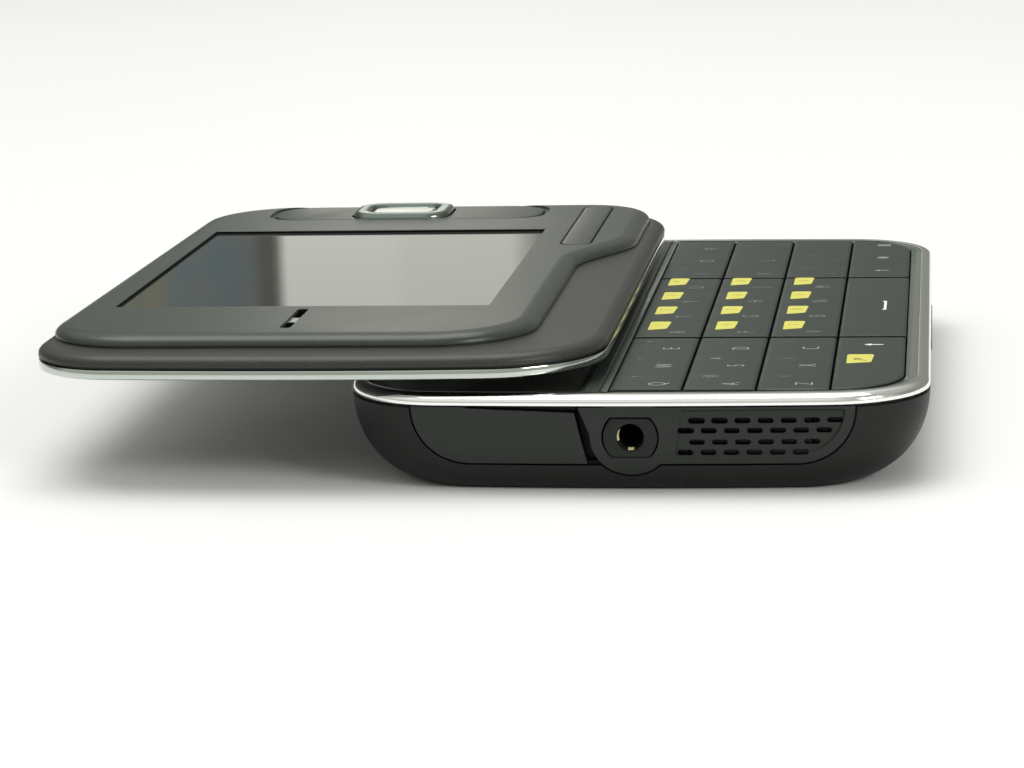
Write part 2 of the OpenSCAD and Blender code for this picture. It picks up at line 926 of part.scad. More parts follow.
// Flat cable between the halves, folded once under the upper half
module slide_flex() {
    mid = (flex_low + flex_high + flex_t) / 2;
    r = (flex_high - flex_low + flex_t) / 2;
    color("#a9682c")
        union() {
            block([flex_bend_x, -flex_w / 2, flex_low], [flex_x + flex_t, flex_w / 2, flex_low + flex_t]);
            block([flex_x, -flex_w / 2, board_top], [flex_x + flex_t, flex_w / 2, flex_low + flex_t]);
            block(
                [flex_bend_x, -flex_w / 2, flex_high],
                [flex_end_x - travel + flex_t, flex_w / 2, flex_high + flex_t]
            );
            block(
                [flex_end_x - travel, -flex_w / 2, flex_high],
                [flex_end_x - travel + flex_t, flex_w / 2, slider_z + 0.5]
            );
            difference() {
                bar_y(flex_bend_x, mid, r, -flex_w / 2, flex_w / 2);
                bar_y(flex_bend_x, mid, r - flex_t, -flex_w, flex_w);
                block([flex_bend_x, -flex_w, 0], [0, flex_w, 20]);
            }
        }
}

pin_fixed_y = 19;
pin_moving_x = 22;
pin_moving_y = 9.5;
spring_turns = 2.5;
spring_steps = 14;
spring_r0 = 1.5;
spring_gain = 0.95;
spring_z = hook_z + 0.25;

// Middle line of one slide spring: from the fixed pin through a flat coil to the moving pin
function spring_path() =
    let (
        c = [plate_x0 + 7.5, (pin_fixed_y + pin_moving_y) / 2],
        n = spring_turns * spring_steps,
        coil = [for (i = [0:n])
            let (a = 360 * i / spring_steps, r = spring_r0 + spring_gain * i / spring_steps)
            c + r * [cos(a + 90), sin(a + 90)]]
    )
    concat(
        [[-travel + pin_moving_x - 0.2, pin_moving_y + 0.75], c + [2.4, -0.6] * 0.35],
        coil,
        [[plate_x1 - 2.5, pin_fixed_y - 0.75]]
    );

// Round wire along a flat path at height z
module wire(path, z, r) {
    n = len(path);
    sides = 6;
    function way(i) =
        let (d = path[min(i + 1, n - 1)] - path[max(i - 1, 0)]) d / norm(d);
    loft([for (i = [0:n - 1])
        [for (k = [0:sides - 1])
            let (a = 360 * k / sides, side = [way(i).y, -way(i).x])
            [path[i].x + r * cos(a) * side.x, path[i].y + r * cos(a) * side.y, z + r * sin(a)]]]);
}

module slide_springs() {
    color("#a5a8aa") {
        wire(spring_path(), spring_z, wire_r);
        mirror([0, 1, 0])
            wire(spring_path(), spring_z, wire_r);
    }
}

// ---- Upper half ----

module slider_trim() {
    color("#ececea")
        upper()
            difference() {
                loft([
                    ring(slider_plan(1), slider_z),
                    ring(slider_plan(0.45), slider_z + 0.08),
                    ring(slider_plan(0.12), slider_z + 0.3),
                    ring(slider_plan(0), slider_z + 0.6),
                    ring(slider_plan(0), strip_top)
                ]);
                slab(slider_plan(1.7), slider_z - 1, strip_top + 1);
            }
}

module slider_back() {
    color("#202322")
        upper()
            difference() {
                slab(slider_plan(1.7 + fit), slider_z, slider_z + 0.6);
                block(
                    [flex_end_x - 0.4, -flex_w / 2 - 0.4, 0],
                    [flex_end_x + 0.4, flex_w / 2 + 0.4, 20]
                );
                for (p = back_screws) {
                    translate([p.x, p.y, 0])
                        cylinder(r = screw_r + fit, h = 20);
                }
            }
}

back_screws = [
    [-half_w + 4.6, -slider_half + 9], [half_w - 4.6, -slider_half + 9],
    [-half_w + 4.6, slider_half - 9], [half_w - 4.6, slider_half - 9]
];

module slider_screws() {
    color("#8b8e90")
        upper()
            for (p = back_screws) {
                translate([p.x, p.y, slider_z - 0.35])
                    difference() {
                        union() {
                            cylinder(r = 1.2, h = 0.35);
                            cylinder(r = screw_r, h = 1.4);
                        }
                        translate([0, 0, -1])
                            cylinder(r = 0.5, h = 1.25, $fn = 6);
                    }
            }
}

// Outline of the raised face plate, moved in by d. It steps out beside the keys, and its
// left side draws in a little towards the far end.
function face_outline(d) =
    let (
        r1 = 9 - d,
        r2 = 10.5 - d,
        r3 = 8 - d,
        r4 = 11 - d,
        x0 = face_left + d,
        x1 = face_left + face_taper + d,
        y0 = face_near + d,
        y1 = face_far - d,
        xn = face_narrow - d,
        xw = face_wide - d
    )
    concat(
        [for (i = [0:6]) let (a = 180 + 90 * i / 6) [x0 + r1 + r1 * cos(a), y0 + r1 + r1 * sin(a)]],
        [for (i = [0:6]) let (a = 270 + 90 * i / 6) [xn - r2 + r2 * cos(a), y0 + r2 + r2 * sin(a)]],
        [for (i = [0:9])
            [xn + (xw - xn) * (1 - cos(20 * i)) / 2, step_y0 + (step_y1 - step_y0) * i / 9]],
        [for (i = [0:6]) let (a = 90 * i / 6) [xw - r3 + r3 * cos(a), y1 - r3 + r3 * sin(a)]],
        [for (i = [0:6]) let (a = 90 + 90 * i / 6) [x1 + r4 + r4 * cos(a), y1 - r4 + r4 * sin(a)]]
    );

window_x1 = window_x0 + window_w;
window_y1 = window_y0 + window_l;
pocket_z = cover_top - 0.4;
earpiece_x = -3.45;
earpiece_y = face_near + 9.5;
well_z = face_top - 0.35;

module slider_cover() {
    color("#2e2a27")
        upper()
            difference() {
                loft([
                    ring(slider_plan(0), strip_top),
                    ring(slider_plan(0), strip_top + 0.5),
                    ring(slider_plan(0.15), strip_top + 0.85),
                    ring(slider_plan(0.5), cover_top - 0.18),
                    ring(slider_plan(1.2), cover_top)
                ]);
                slab(face_outline(-fit), pocket_z, 30);
                slab(slider_plan(2), strip_top - 1, pocket_z - 0.3);
                // Windows for the display, the earpiece and the keys
                block([window_x0 - 1, window_y0 - 1, 0], [window_x1 + 1, window_y1 + 1, 30]);
                translate([earpiece_x, earpiece_y, 0])
                    slab(round_oblong(7, 12.5, 2), 0, 30);
                block([-20.5, window_y1 + 4, 0], [face_wide - 4, face_far - 1.5, 30]);
                block([menu_x - 1.4, menu_y0 + 1, 0], [menu_x + 1.4, menu_y1 - 1, 30]);
            }
}

module face_plate() {
    color("#39403d")
        upper()
            difference() {
                loft([
                    ring(face_outline(0), pocket_z),
                    ring(face_outline(0), cover_top + 0.2),
                    ring(face_outline(0.25), cover_top + 0.6),
                    ring(face_outline(0.8), face_top - 0.3),
                    ring(face_outline(1.9), face_top)
                ]);
                block([window_x0, window_y0, 0], [window_x1, window_y1, 30]);
                for (y = [-1, 1]) {
                    translate([earpiece_x, earpiece_y + 3.35 * y, 0])
                        slab(round_oblong(1, 4.2, 0.45), 0, 30);
                }
                // Well round the navigation key and its neighbours
                translate([0, 0, well_z])
                    linear_extrude(5)
                        polygon(cluster_outline(0));
                navi_hole(0.15);
                side_well(-1, 0.3);
                side_well(1, 0.3);
                translate([menu_x, (menu_y0 + menu_y1) / 2, 0])
                    slab(round_oblong(menu_w + 0.3, menu_y1 - menu_y0 + 0.3, 1.4), 0, 30);
            }
}

cluster_w = 34;
cluster_l = 11.6;

// Shallow well that holds the navigation key and the two keys beside it
function cluster_outline(d) =
    moved(round_oblong(cluster_w - d, cluster_l - d, 4.2), [navi_x + 0.7, navi_y]);

module navi_hole(d) {
    translate([navi_x, navi_y, 0])
        slab(round_oblong(navi_w + 2 * d, navi_l + 2 * d, 3 + d), 0, 30);
}

module side_well(s, d) {
    intersection() {
        slab(cluster_outline(1.2 - 2 * d), 0, 30);
        block(
            [min(s * (navi_w / 2 + 1.2 - d), s * 40) + navi_x, navi_y - 20, 0],
            [max(s * (navi_w / 2 + 1.2 - d), s * 40) + navi_x, navi_y + 20, 30]
        );
    }
}

module display_window() {
    color("#777d80")
        upper()
            block(
                [window_x0 + fit, window_y0 + fit, pocket_z],
                [window_x1 - fit, window_y1 - fit, face_top - window_sink]
            );
}

module display_module() {
    color("#15171a")
        upper()
            block(
                [window_x0 - 0.8, window_y0 - 0.8, slider_z + 0.6 + fit],
                [window_x1 + 0.8, window_y1 + 0.8, pocket_z - fit]
            );
}

module earpiece() {
    color("#8c8f92")
        upper()
            translate([earpiece_x, earpiece_y, 0])
                slab(round_oblong(6, 11.5, 2), slider_z + 0.6 + fit, pocket_z - 0.1);
}

module earpiece_mesh() {
    color("#4b4b4b")
        upper()
            translate([earpiece_x, earpiece_y, 0])
                slab(round_oblong(4, 11.3, 1), pocket_z - 0.1, pocket_z - fit);
}

module slider_board() {
    color("#1f5a3a")
        upper()
            block(
                [-21, window_y1 + 3, slider_z + 0.6 + fit],
                [face_wide - 3.8, face_far - 1.8, strip_top + 0.2]
            );
}

menu_x = half_w - 8.4;
menu_w = 3.3;
menu_y0 = 12.3;
menu_y1 = face_far - 3.5;
pad_key_z = pocket_z + 0.3;

// Flush key of the upper half on an outline; its rim is bevelled
module flat_key(pts, small, top) {
    loft([ring(pts, pad_key_z), ring(pts, top - 0.2), ring(small, top)]);
}

module navi_ring() {
    color("#d8d8d4")
        upper()
            difference() {
                translate([navi_x, navi_y, 0])
                    loft([
                        ring(round_oblong(navi_w, navi_l, 3), pad_key_z),
                        ring(round_oblong(navi_w, navi_l, 3), face_top + 0.2),
                        ring(round_oblong(navi_w - 0.4, navi_l - 0.4, 2.8), face_top + 0.45),
                        ring(round_oblong(navi_w - 1.2, navi_l - 1.2, 2.4), face_top + 0.55)
                    ]);
                translate([navi_x, navi_y, 0])
                    slab(round_oblong(select_w + 0.3, select_l + 0.3, 1.75), 0, 30);
            }
}

select_w = 7.6;
select_l = 5.8;

module select_key() {
    color("#9a9d9b")
        upper()
            translate([navi_x, navi_y, 0])
                flat_key(
                    round_oblong(select_w, select_l, 1.6),
                    round_oblong(select_w - 0.5, select_l - 0.5, 1.4),
                    face_top + 0.3
                );
}

// Key beside the navigation key, on side s
module wing_key(s) {
    intersection() {
        flat_key(cluster_outline(1.2), cluster_outline(1.6), face_top - 0.05);
        block(
            [min(s * (navi_w / 2 + 1.2), s * 40) + navi_x, navi_y - 20, 0],
            [max(s * (navi_w / 2 + 1.2), s * 40) + navi_x, navi_y + 20, 30]
        );
    }
}

module call_key() {
    color("#39403d") upper() wing_key(-1);
}

module end_key() {
    color("#39403d") upper() wing_key(1);
}

module menu_key() {
    color("#39403d")
        upper()
            translate([menu_x, (menu_y0 + menu_y1) / 2, 0])
                flat_key(
                    round_oblong(menu_w, menu_y1 - menu_y0, 1.3),
                    round_oblong(menu_w - 0.4, menu_y1 - menu_y0 - 0.4, 1.1),
                    face_top + 0.05
                );
}

// ---- Pieces ----

lower_housing();
base_trim();
keypad_frame();
end_panel();
speaker_mesh();
loudspeaker();
jack_insert();
jack_contacts();
usb_socket();
main_board();
shield_cans();
dome_sheet();
key_mat();
fixed_slide_plate();
battery_frame();
battery();
battery_contacts();
camera_module();
sim_holder();
card_slot();
vibration_motor();
microphone();
antenna();
housing_screws();
slide_flex();
slide_springs();
battery_cover();
camera_window();
charger_door();
volume_key();
camera_key();
key_plate(0, 0, 3);  // keys_qwe
key_plate(0, 3, 4);  // keys_rtyu
key_plate(0, 7, 3);  // keys_iop
key_plate(1, 0, 3);  // keys_asd
key_plate(1, 3, 4);  // keys_fghj
key_plate(1, 7, 3);  // keys_kl
key_plate(2, 0, 3);  // keys_zxc
key_plate(2, 3, 4);  // keys_vbnm
key_plate(2, 7, 3);  // keys_comma
key_plate(3, 0, 3);  // shift_key
key_plate(3, 3, 4);  // space_key
key_plate(3, 7, 3);  // symbol_keys
slider_cover();
slider_trim();
face_plate();
display_window();
display_module();
slider_back();
moving_slide_plate();
earpiece();
earpiece_mesh();
slider_board();
slider_screws();
navi_ring();
select_key();
call_key();
end_key();
menu_key();
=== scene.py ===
"""Looks of a slider phone that lies open on a white table.

Shapes are worked out in millimetres, in the frame's own axes: Z up, the phone's length along Y,
the upper half slid open towards -X. keep() turns a finished piece into metres.
"""

import json
import math

import bmesh
import bpy
from bpy.props import FloatProperty, FloatVectorProperty, IntProperty, PointerProperty
from mathutils import Matrix, Vector


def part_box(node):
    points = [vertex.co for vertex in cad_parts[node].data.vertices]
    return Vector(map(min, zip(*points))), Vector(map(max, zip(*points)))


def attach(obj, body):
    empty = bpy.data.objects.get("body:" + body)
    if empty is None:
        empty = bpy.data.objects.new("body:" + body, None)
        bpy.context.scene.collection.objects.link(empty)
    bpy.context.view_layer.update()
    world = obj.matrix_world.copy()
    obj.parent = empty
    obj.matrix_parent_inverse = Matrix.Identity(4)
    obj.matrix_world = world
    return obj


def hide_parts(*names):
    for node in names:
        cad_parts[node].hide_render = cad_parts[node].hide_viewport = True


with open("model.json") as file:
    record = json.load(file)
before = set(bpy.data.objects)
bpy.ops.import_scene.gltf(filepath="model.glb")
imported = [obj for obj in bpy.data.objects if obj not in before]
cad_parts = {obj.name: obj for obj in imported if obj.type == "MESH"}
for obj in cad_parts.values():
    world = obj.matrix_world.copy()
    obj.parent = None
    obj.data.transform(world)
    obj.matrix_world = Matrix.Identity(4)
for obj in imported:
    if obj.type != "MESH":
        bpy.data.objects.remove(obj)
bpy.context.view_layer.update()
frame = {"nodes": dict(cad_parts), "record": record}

bl_info = {
    "name": "Slider phone",
    "version": (1, 0, 0),
    "blender": (4, 5, 0),
    "location": "View3D > Sidebar > Phone",
    "description": "Builds a slider phone's shells, keys and finishes round its frame",
    "category": "Object",
}

MM = 0.001
NODES = frame["nodes"]


def low(node):
    """Lowest corner of a frame node, in millimetres."""
    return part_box(node)[0] / MM


def high(node):
    """Highest corner of a frame node, in millimetres."""
    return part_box(node)[1] / MM


def ends(node):
    """Lowest and highest corner of a frame node, in millimetres."""
    return low(node), high(node)


def middle_of(node):
    """Middle of a frame node, in millimetres."""
    return (low(node) + high(node)) / 2


# ---- Sizes read from the frame, in millimetres ----

HALF_W = high("base_trim").x
HALF_L = high("base_trim").y
HOUSING_H = high("lower_housing").z
RIM_TOP = high("base_trim").z
BEZEL_TOP = high("keypad_frame").z
KEY_TOP = high("keys_qwe").z
KEY_LOW = low("keys_qwe").z
SLIDER_X = (low("slider_trim").x + high("slider_trim").x) / 2
SLIDER_HALF_W = (high("slider_trim").x - low("slider_trim").x) / 2
SLIDER_HALF_L = high("slider_trim").y
SLIDER_Z = low("slider_trim").z
STRIP_TOP = high("slider_trim").z
COVER_TOP = high("slider_cover").z
FACE_TOP = high("face_plate").z
POCKET_Z = low("face_plate").z
GLASS_TOP = high("display_window").z
JACK_MOUTH = low("jack_insert").y
LENS = middle_of("camera_window")
JACK = frame["record"]["mounts"][1]
JACK_Z = 1000 * JACK["pos_m"][2]
JACK_X = 1000 * JACK["pos_m"][0]
JACK_R = JACK["dims"]["r_mm"]

# ---- Sizes that shape the shells, in millimetres ----

CORNER_R = 10
END_BOW = 0.5
SIDE_ROUND = 8
SIDE_FULLNESS = 2.1
END_ROUND = 3.25
END_FULLNESS = 2
CORNER_TAPER = 0.5
WALL = 1.2
TRIM_SIDE = 1.22
TRIM_END = 1.9
BAND = 1.23
KEY_MARGIN_X = TRIM_SIDE + BAND
KEY_MARGIN_Y = TRIM_END + 0.55
ROWS = 4
COLUMNS = 10
KEY_PITCH_GAP = 0.45
KEY_GAP = 0.18
BLOCK_GAP = 0.9
ROW_PITCH = (high("shift_key").x - low("keys_qwe").x + KEY_PITCH_GAP) / ROWS
COLUMN_PITCH = 2 * (HALF_L - KEY_MARGIN_Y) / COLUMNS
PAD_RIGHT = HALF_W - KEY_MARGIN_X
PAD_LEFT = PAD_RIGHT - ROWS * ROW_PITCH
DECK_EDGE = PAD_LEFT - 3.2
DECK_Z = HOUSING_H + 0.3
SLIDER_R_RIGHT = CORNER_R + 2
SLIDER_R_LEFT = CORNER_R - 1

# Near end: its inlay, the lobe and insert of the socket, the door, the speaker's field
PANEL_BACK = high("end_panel").y
PANEL_TOP = HOUSING_H - 0.1
PANEL_LOW = HOUSING_H - 5.85
PANEL_X = 21.6
PANEL_ROUND = 5.6
LOBE_R = 3.93
INSERT_R = 2.65
SEAM = 0.2
DOOR_EDGE = JACK_X - 5.35
# Speaker slots: first place along X, height above the socket's middle, count
SLOT_ROWS = ((5.58, 1.61, 7), (4.53, 0.61, 7), (5.58, -0.55, 6), (4.45, -1.59, 6))
FIELD_INSET = 0.95
FIELD_DEPTH = 0.24
# Door's tongue: X, and height above the socket's middle
TONGUE_LOW = (-19.3, -0.45)
TONGUE_HIGH = (-17.5, 0.15)

# Inside of the housing, screws and flat cable
HOLLOW_X = HALF_W - 2.2
HOLLOW_Y = HALF_L - 2.75
HOLLOW_SHIFT = 0.5
SCREW_COLUMNS = (13.5, 15.5)
CASE_SCREW_R = 1.35
BACK_SCREW_R = 1.2
SHANK_R = 0.7
CABLE_LOW = low("fixed_slide_plate").z + 0.35
CABLE_T = 0.15
CABLE_RISE = 0.35
CABLE_END_X = -20

# Face plate; slots, bridge and well as width, length and corner
WINDOW_LOW = low("display_window") - Vector((0.05, 0.05, 0))
WINDOW_HIGH = high("display_window") + Vector((0.05, 0.05, 0))
FACE_LEFT = -SLIDER_HALF_W + 0.7
FACE_NEAR = -SLIDER_HALF_L + 4.7
FACE_NARROW = SLIDER_HALF_W - 7.3
FACE_WIDE = SLIDER_HALF_W - 1.9
FACE_FAR = SLIDER_HALF_L - 3.2
STEP_NEAR = 3
STEP_FAR = 20
NAVI = middle_of("navi_ring")
NAVI_W, NAVI_L = (high("navi_ring") - low("navi_ring")).xy
MENU = middle_of("menu_key")
MENU_W, MENU_L = (high("menu_key") - low("menu_key")).xy
EAR = middle_of("earpiece")
EAR_SLOT = (1, 4.2, 0.45)
EAR_SLOT_OFF = 3.35
BRIDGE = (1.1, 10.6, 0.5)
BRIDGE_Z = FACE_TOP - 0.22
WELL = (34, 11.6, 4.2)
WELL_Z = FACE_TOP - 0.35
FACE_RADII = (9, 10.5, 8, 11)

# ---- The photograph's camera ----

CAMERA_AT = (29.615, -367.372, 75.199)
CAMERA_LENS = 118.95
CAMERA_TURN = math.radians(7.342)
CAMERA_DOWN = math.radians(11.298)
CAMERA_ROLL = math.radians(-1.581)


# ---- What a user would change ----

class PhoneSizes(bpy.types.PropertyGroup):
    """Sizes of the visible details"""

    edge: FloatProperty(name="Edge", description="Round on the small parts' edges",
                        default=0.1 * MM, min=0, unit="LENGTH")
    key_edge: FloatProperty(name="Key edge", description="Width of the round on a key's edge",
                            default=0.42 * MM, min=0, unit="LENGTH")
    key_drop: FloatProperty(name="Key edge drop", description="Height of the round on a key's edge",
                            default=0.26 * MM, min=0, unit="LENGTH")
    ridge: FloatProperty(name="Letter ridge", description="Height of the ridge between two letters",
                         default=0.07 * MM, min=0, unit="LENGTH")
    print_rise: FloatProperty(name="Print", description="Height of the printed marks",
                              default=0.012 * MM, min=0, unit="LENGTH")
    letter: FloatProperty(name="Letter", description="Height of a printed letter",
                          default=1.9 * MM, min=0, unit="LENGTH")
    slot_length: FloatProperty(name="Slot length", description="Length of a speaker slot",
                               default=1.54 * MM, min=0, unit="LENGTH")
    slot_height: FloatProperty(name="Slot height", description="Height of a speaker slot",
                               default=0.54 * MM, min=0, unit="LENGTH")
    slot_pitch: FloatProperty(name="Slot pitch", description="Spacing of the speaker slots",
                              default=2.22 * MM, min=0, unit="LENGTH")
    round_steps: IntProperty(name="Round steps", description="Steps round a quarter turn",
                             default=16, min=4, max=48)


class PhoneColours(bpy.types.PropertyGroup):
    """Colours of the finishes"""

    housing: FloatVectorProperty(name="Housing", description="Soft-touch black",
                                 default=(0.009, 0.0103, 0.0087), size=3, subtype="COLOR")
    end: FloatVectorProperty(name="End panel", description="Dark grey of the near end",
                             default=(0.0138, 0.0172, 0.0142), size=3, subtype="COLOR")
    keys: FloatVectorProperty(name="Keys", description="Dark grey of the key plates",
                              default=(0.0195, 0.0275, 0.0205), size=3, subtype="COLOR")
    band: FloatVectorProperty(name="Band", description="Green-grey band round the keys",
                              default=(0.1, 0.125, 0.105), size=3, subtype="COLOR")
    cover: FloatVectorProperty(name="Cover", description="Brown-grey of the upper cover",
                               default=(0.032, 0.034, 0.029), size=3, subtype="COLOR")
    face: FloatVectorProperty(name="Face", description="Green-grey of the face plate",
                              default=(0.037, 0.043, 0.0365), size=3, subtype="COLOR")
    chrome: FloatVectorProperty(name="Chrome", description="Tint of the polished trim",
                                default=(0.93, 0.93, 0.91), size=3, subtype="COLOR")
    badge: FloatVectorProperty(name="Badge", description="Yellow behind the numbers",
                               default=(0.6, 0.57, 0.1), size=3, subtype="COLOR")
    glass: FloatVectorProperty(name="Glass", description="Tone of the display behind its window",
                               default=(0.036, 0.038, 0.034), size=3, subtype="COLOR")


# ---- Shader maths ----

def math_method(operation, swapped=False):
    """Method that puts a Math node on a value and another one, or on the two swapped."""
    def method(self, other):
        first, second = (other, self) if swapped else (self, other)
        return self.finish.node("ShaderNodeMath", {"operation": operation}, {0: first, 1: second})

    return method


class Value:
    """A shader node's output; arithmetic on it adds Math nodes."""

    def __init__(self, finish, socket):
        self.finish = finish
        self.socket = socket

    __add__ = math_method("ADD")
    __radd__ = math_method("ADD", swapped=True)
    __rsub__ = math_method("SUBTRACT", swapped=True)
    __mul__ = math_method("MULTIPLY")
    __rmul__ = math_method("MULTIPLY", swapped=True)
    __gt__ = math_method("GREATER_THAN")


class Nodes:
    """A shader tree that grows by one method."""

    def __init__(self, tree):
        self.tree = tree

    def node(self, kind, settings=None, inputs=None, output=0):
        """Any node: its type, its settings, then values or links of its inputs."""
        made = self.tree.nodes.new(kind)
        for key, value in (settings or {}).items():
            setattr(made, key, value)
        for key, value in (inputs or {}).items():
            self._feed(made.inputs[key], value)
        return Value(self, made.outputs[output])

    def _feed(self, socket, value):
        if isinstance(value, Value):
            self.tree.links.new(value.socket, socket)
        else:
            socket.default_value = value

    def blend(self, factor, first, second):
        """Colour between first and second, each a colour or a value."""
        first = first if isinstance(first, Value) else (*first, 1)
        second = second if isinstance(second, Value) else (*second, 1)
        return self.node("ShaderNodeMix", {"data_type": "RGBA"},
                         {"Factor": factor, 6: first, 7: second}, 2)

    def ramp(self, value, low_end, high_end):
        """Smooth 0 to 1 while a value goes from its low end to its high end."""
        return self.node("ShaderNodeMapRange", {"interpolation_type": "SMOOTHSTEP"},
                         {"Value": value, "From Min": low_end, "From Max": high_end})


class Finish(Nodes):
    """A node material, built from a principled surface."""

    def __init__(self, name, **fixed):
        self.material = bpy.data.materials.new(name)
        self.material.use_nodes = True
        super().__init__(self.material.node_tree)
        self.surface = self.tree.nodes["Principled BSDF"]
        for socket, value in fixed.items():
            self.set(socket.replace("_", " ").title().replace("Ior", "IOR"), value)

    def set(self, socket, value):
        """Value or link of one of the surface's inputs."""
        if isinstance(value, tuple) and len(value) == 3:
            value = (*value, 1)
        self._feed(self.surface.inputs[socket], value)

    def place(self):
        """Position on the piece, in metres."""
        return self.node("ShaderNodeTexCoord", output="Object")

    def noise(self, size_mm, detail=2, rough=0.5):
        """Noise from 0 to 1 whose blotches are about size_mm across."""
        return self.node("ShaderNodeTexNoise", {"noise_dimensions": "3D"},
                         {"Vector": self.place(), "Scale": 1 / (size_mm * MM), "Detail": detail,
                          "Roughness": rough})

    def grains(self, size_mm):
        """Distance to the nearest of a scatter of grains about size_mm apart, in sizes."""
        return self.node("ShaderNodeTexVoronoi", {"feature": "F1"},
                         {"Vector": self.place(), "Scale": 1 / (size_mm * MM)}, "Distance")

    def bump(self, height, depth_mm, strength=1):
        normal = self.node("ShaderNodeBump", None,
                           {"Strength": strength, "Distance": depth_mm * MM, "Height": height})
        self.set("Normal", normal)


def shade(colour, factor):
    """A colour times a factor."""
    return tuple(channel * factor for channel in colour)


def plastic(name, colour, roughness=0.42, grain_mm=0.25, depth_mm=0.006, wear=0.06, coat=0.0,
            gloss=0.5, mottle=0.14):
    """Moulded plastic: fine spark-eroded grain, a little handling shine."""
    finish = Finish(name, specular_ior_level=gloss)
    grain = finish.noise(grain_mm, 3)
    shine = finish.noise(9, 2)
    finish.set("Base Color", finish.blend(grain, shade(colour, 1 - mottle),
                                          shade(colour, 1 + mottle)))
    finish.set("Roughness", roughness - wear + 2 * wear * shine)
    if coat:
        finish.set("Coat Weight", coat)
        finish.set("Coat Roughness", 0.08)
    finish.bump(grain, depth_mm)
    return finish.material


def metal(name, colour, roughness=0.2, streak=0.06, grain_mm=0.6):
    """Metal with faint streaks along the part."""
    finish = Finish(name, metallic=1.0)
    grain = finish.noise(grain_mm, 4)
    finish.set("Base Color", finish.blend(grain, shade(colour, 0.93), colour))
    finish.set("Roughness", roughness - streak / 2 + streak * grain)
    return finish.material


def polished(name, colour):
    """Bright plated trim: nearly a mirror, with the haze of fine wipe marks."""
    finish = Finish(name, metallic=1.0)
    haze = finish.noise(6, 3)
    finish.set("Base Color", finish.blend(haze, shade(colour, 0.97), colour))
    finish.set("Roughness", 0.07 + 0.05 * haze)
    return finish.material


def speckled(name, colour):
    """Satin paint with a fine metal flake."""
    finish = Finish(name, specular_ior_level=0.34)
    flakes = finish.grains(0.22)
    fine = finish.noise(0.35, 4)
    bright = 1 - (flakes > 0.3)
    finish.set("Base Color", finish.blend(bright * fine, shade(colour, 0.8), shade(colour, 2.1)))
    finish.set("Roughness", 0.36 + 0.12 * fine)
    finish.set("Metallic", 0.25 * bright)
    finish.bump(fine, 0.006)
    return finish.material


def glass(name, colour):
    """Clear window over a dark display, seen as one glossy face."""
    finish = Finish(name, specular_ior_level=0.55)
    depth = finish.noise(16, 1)
    finish.set("Base Color", finish.blend(depth, shade(colour, 0.85), shade(colour, 1.1)))
    finish.set("Roughness", 0.02 + 0.015 * depth)
    return finish.material


def board(name):
    """Solder mask with traces under it."""
    finish = Finish(name)
    traces = finish.node("ShaderNodeTexBrick", {"offset": 0.5},
                         {"Vector": finish.place(), "Scale": 450.0, "Mortar Size": 0.06,
                          "Color1": (0.01, 0.1, 0.045, 1), "Color2": (0.012, 0.12, 0.05, 1),
                          "Mortar": (0.02, 0.2, 0.09, 1)})
    finish.set("Base Color", traces)
    finish.set("Roughness", 0.25 + 0.15 * finish.noise(1.5, 2))
    return finish.material


def mesh_cloth(name):
    """Woven dust mesh."""
    finish = Finish(name)
    weave = finish.grains(0.18)
    finish.set("Base Color", finish.blend(weave, (0.01, 0.01, 0.01), (0.07, 0.07, 0.07)))
    finish.set("Roughness", 0.7 - 0.2 * weave)
    finish.bump(weave, 0.03)
    return finish.material


FINISHES = {}


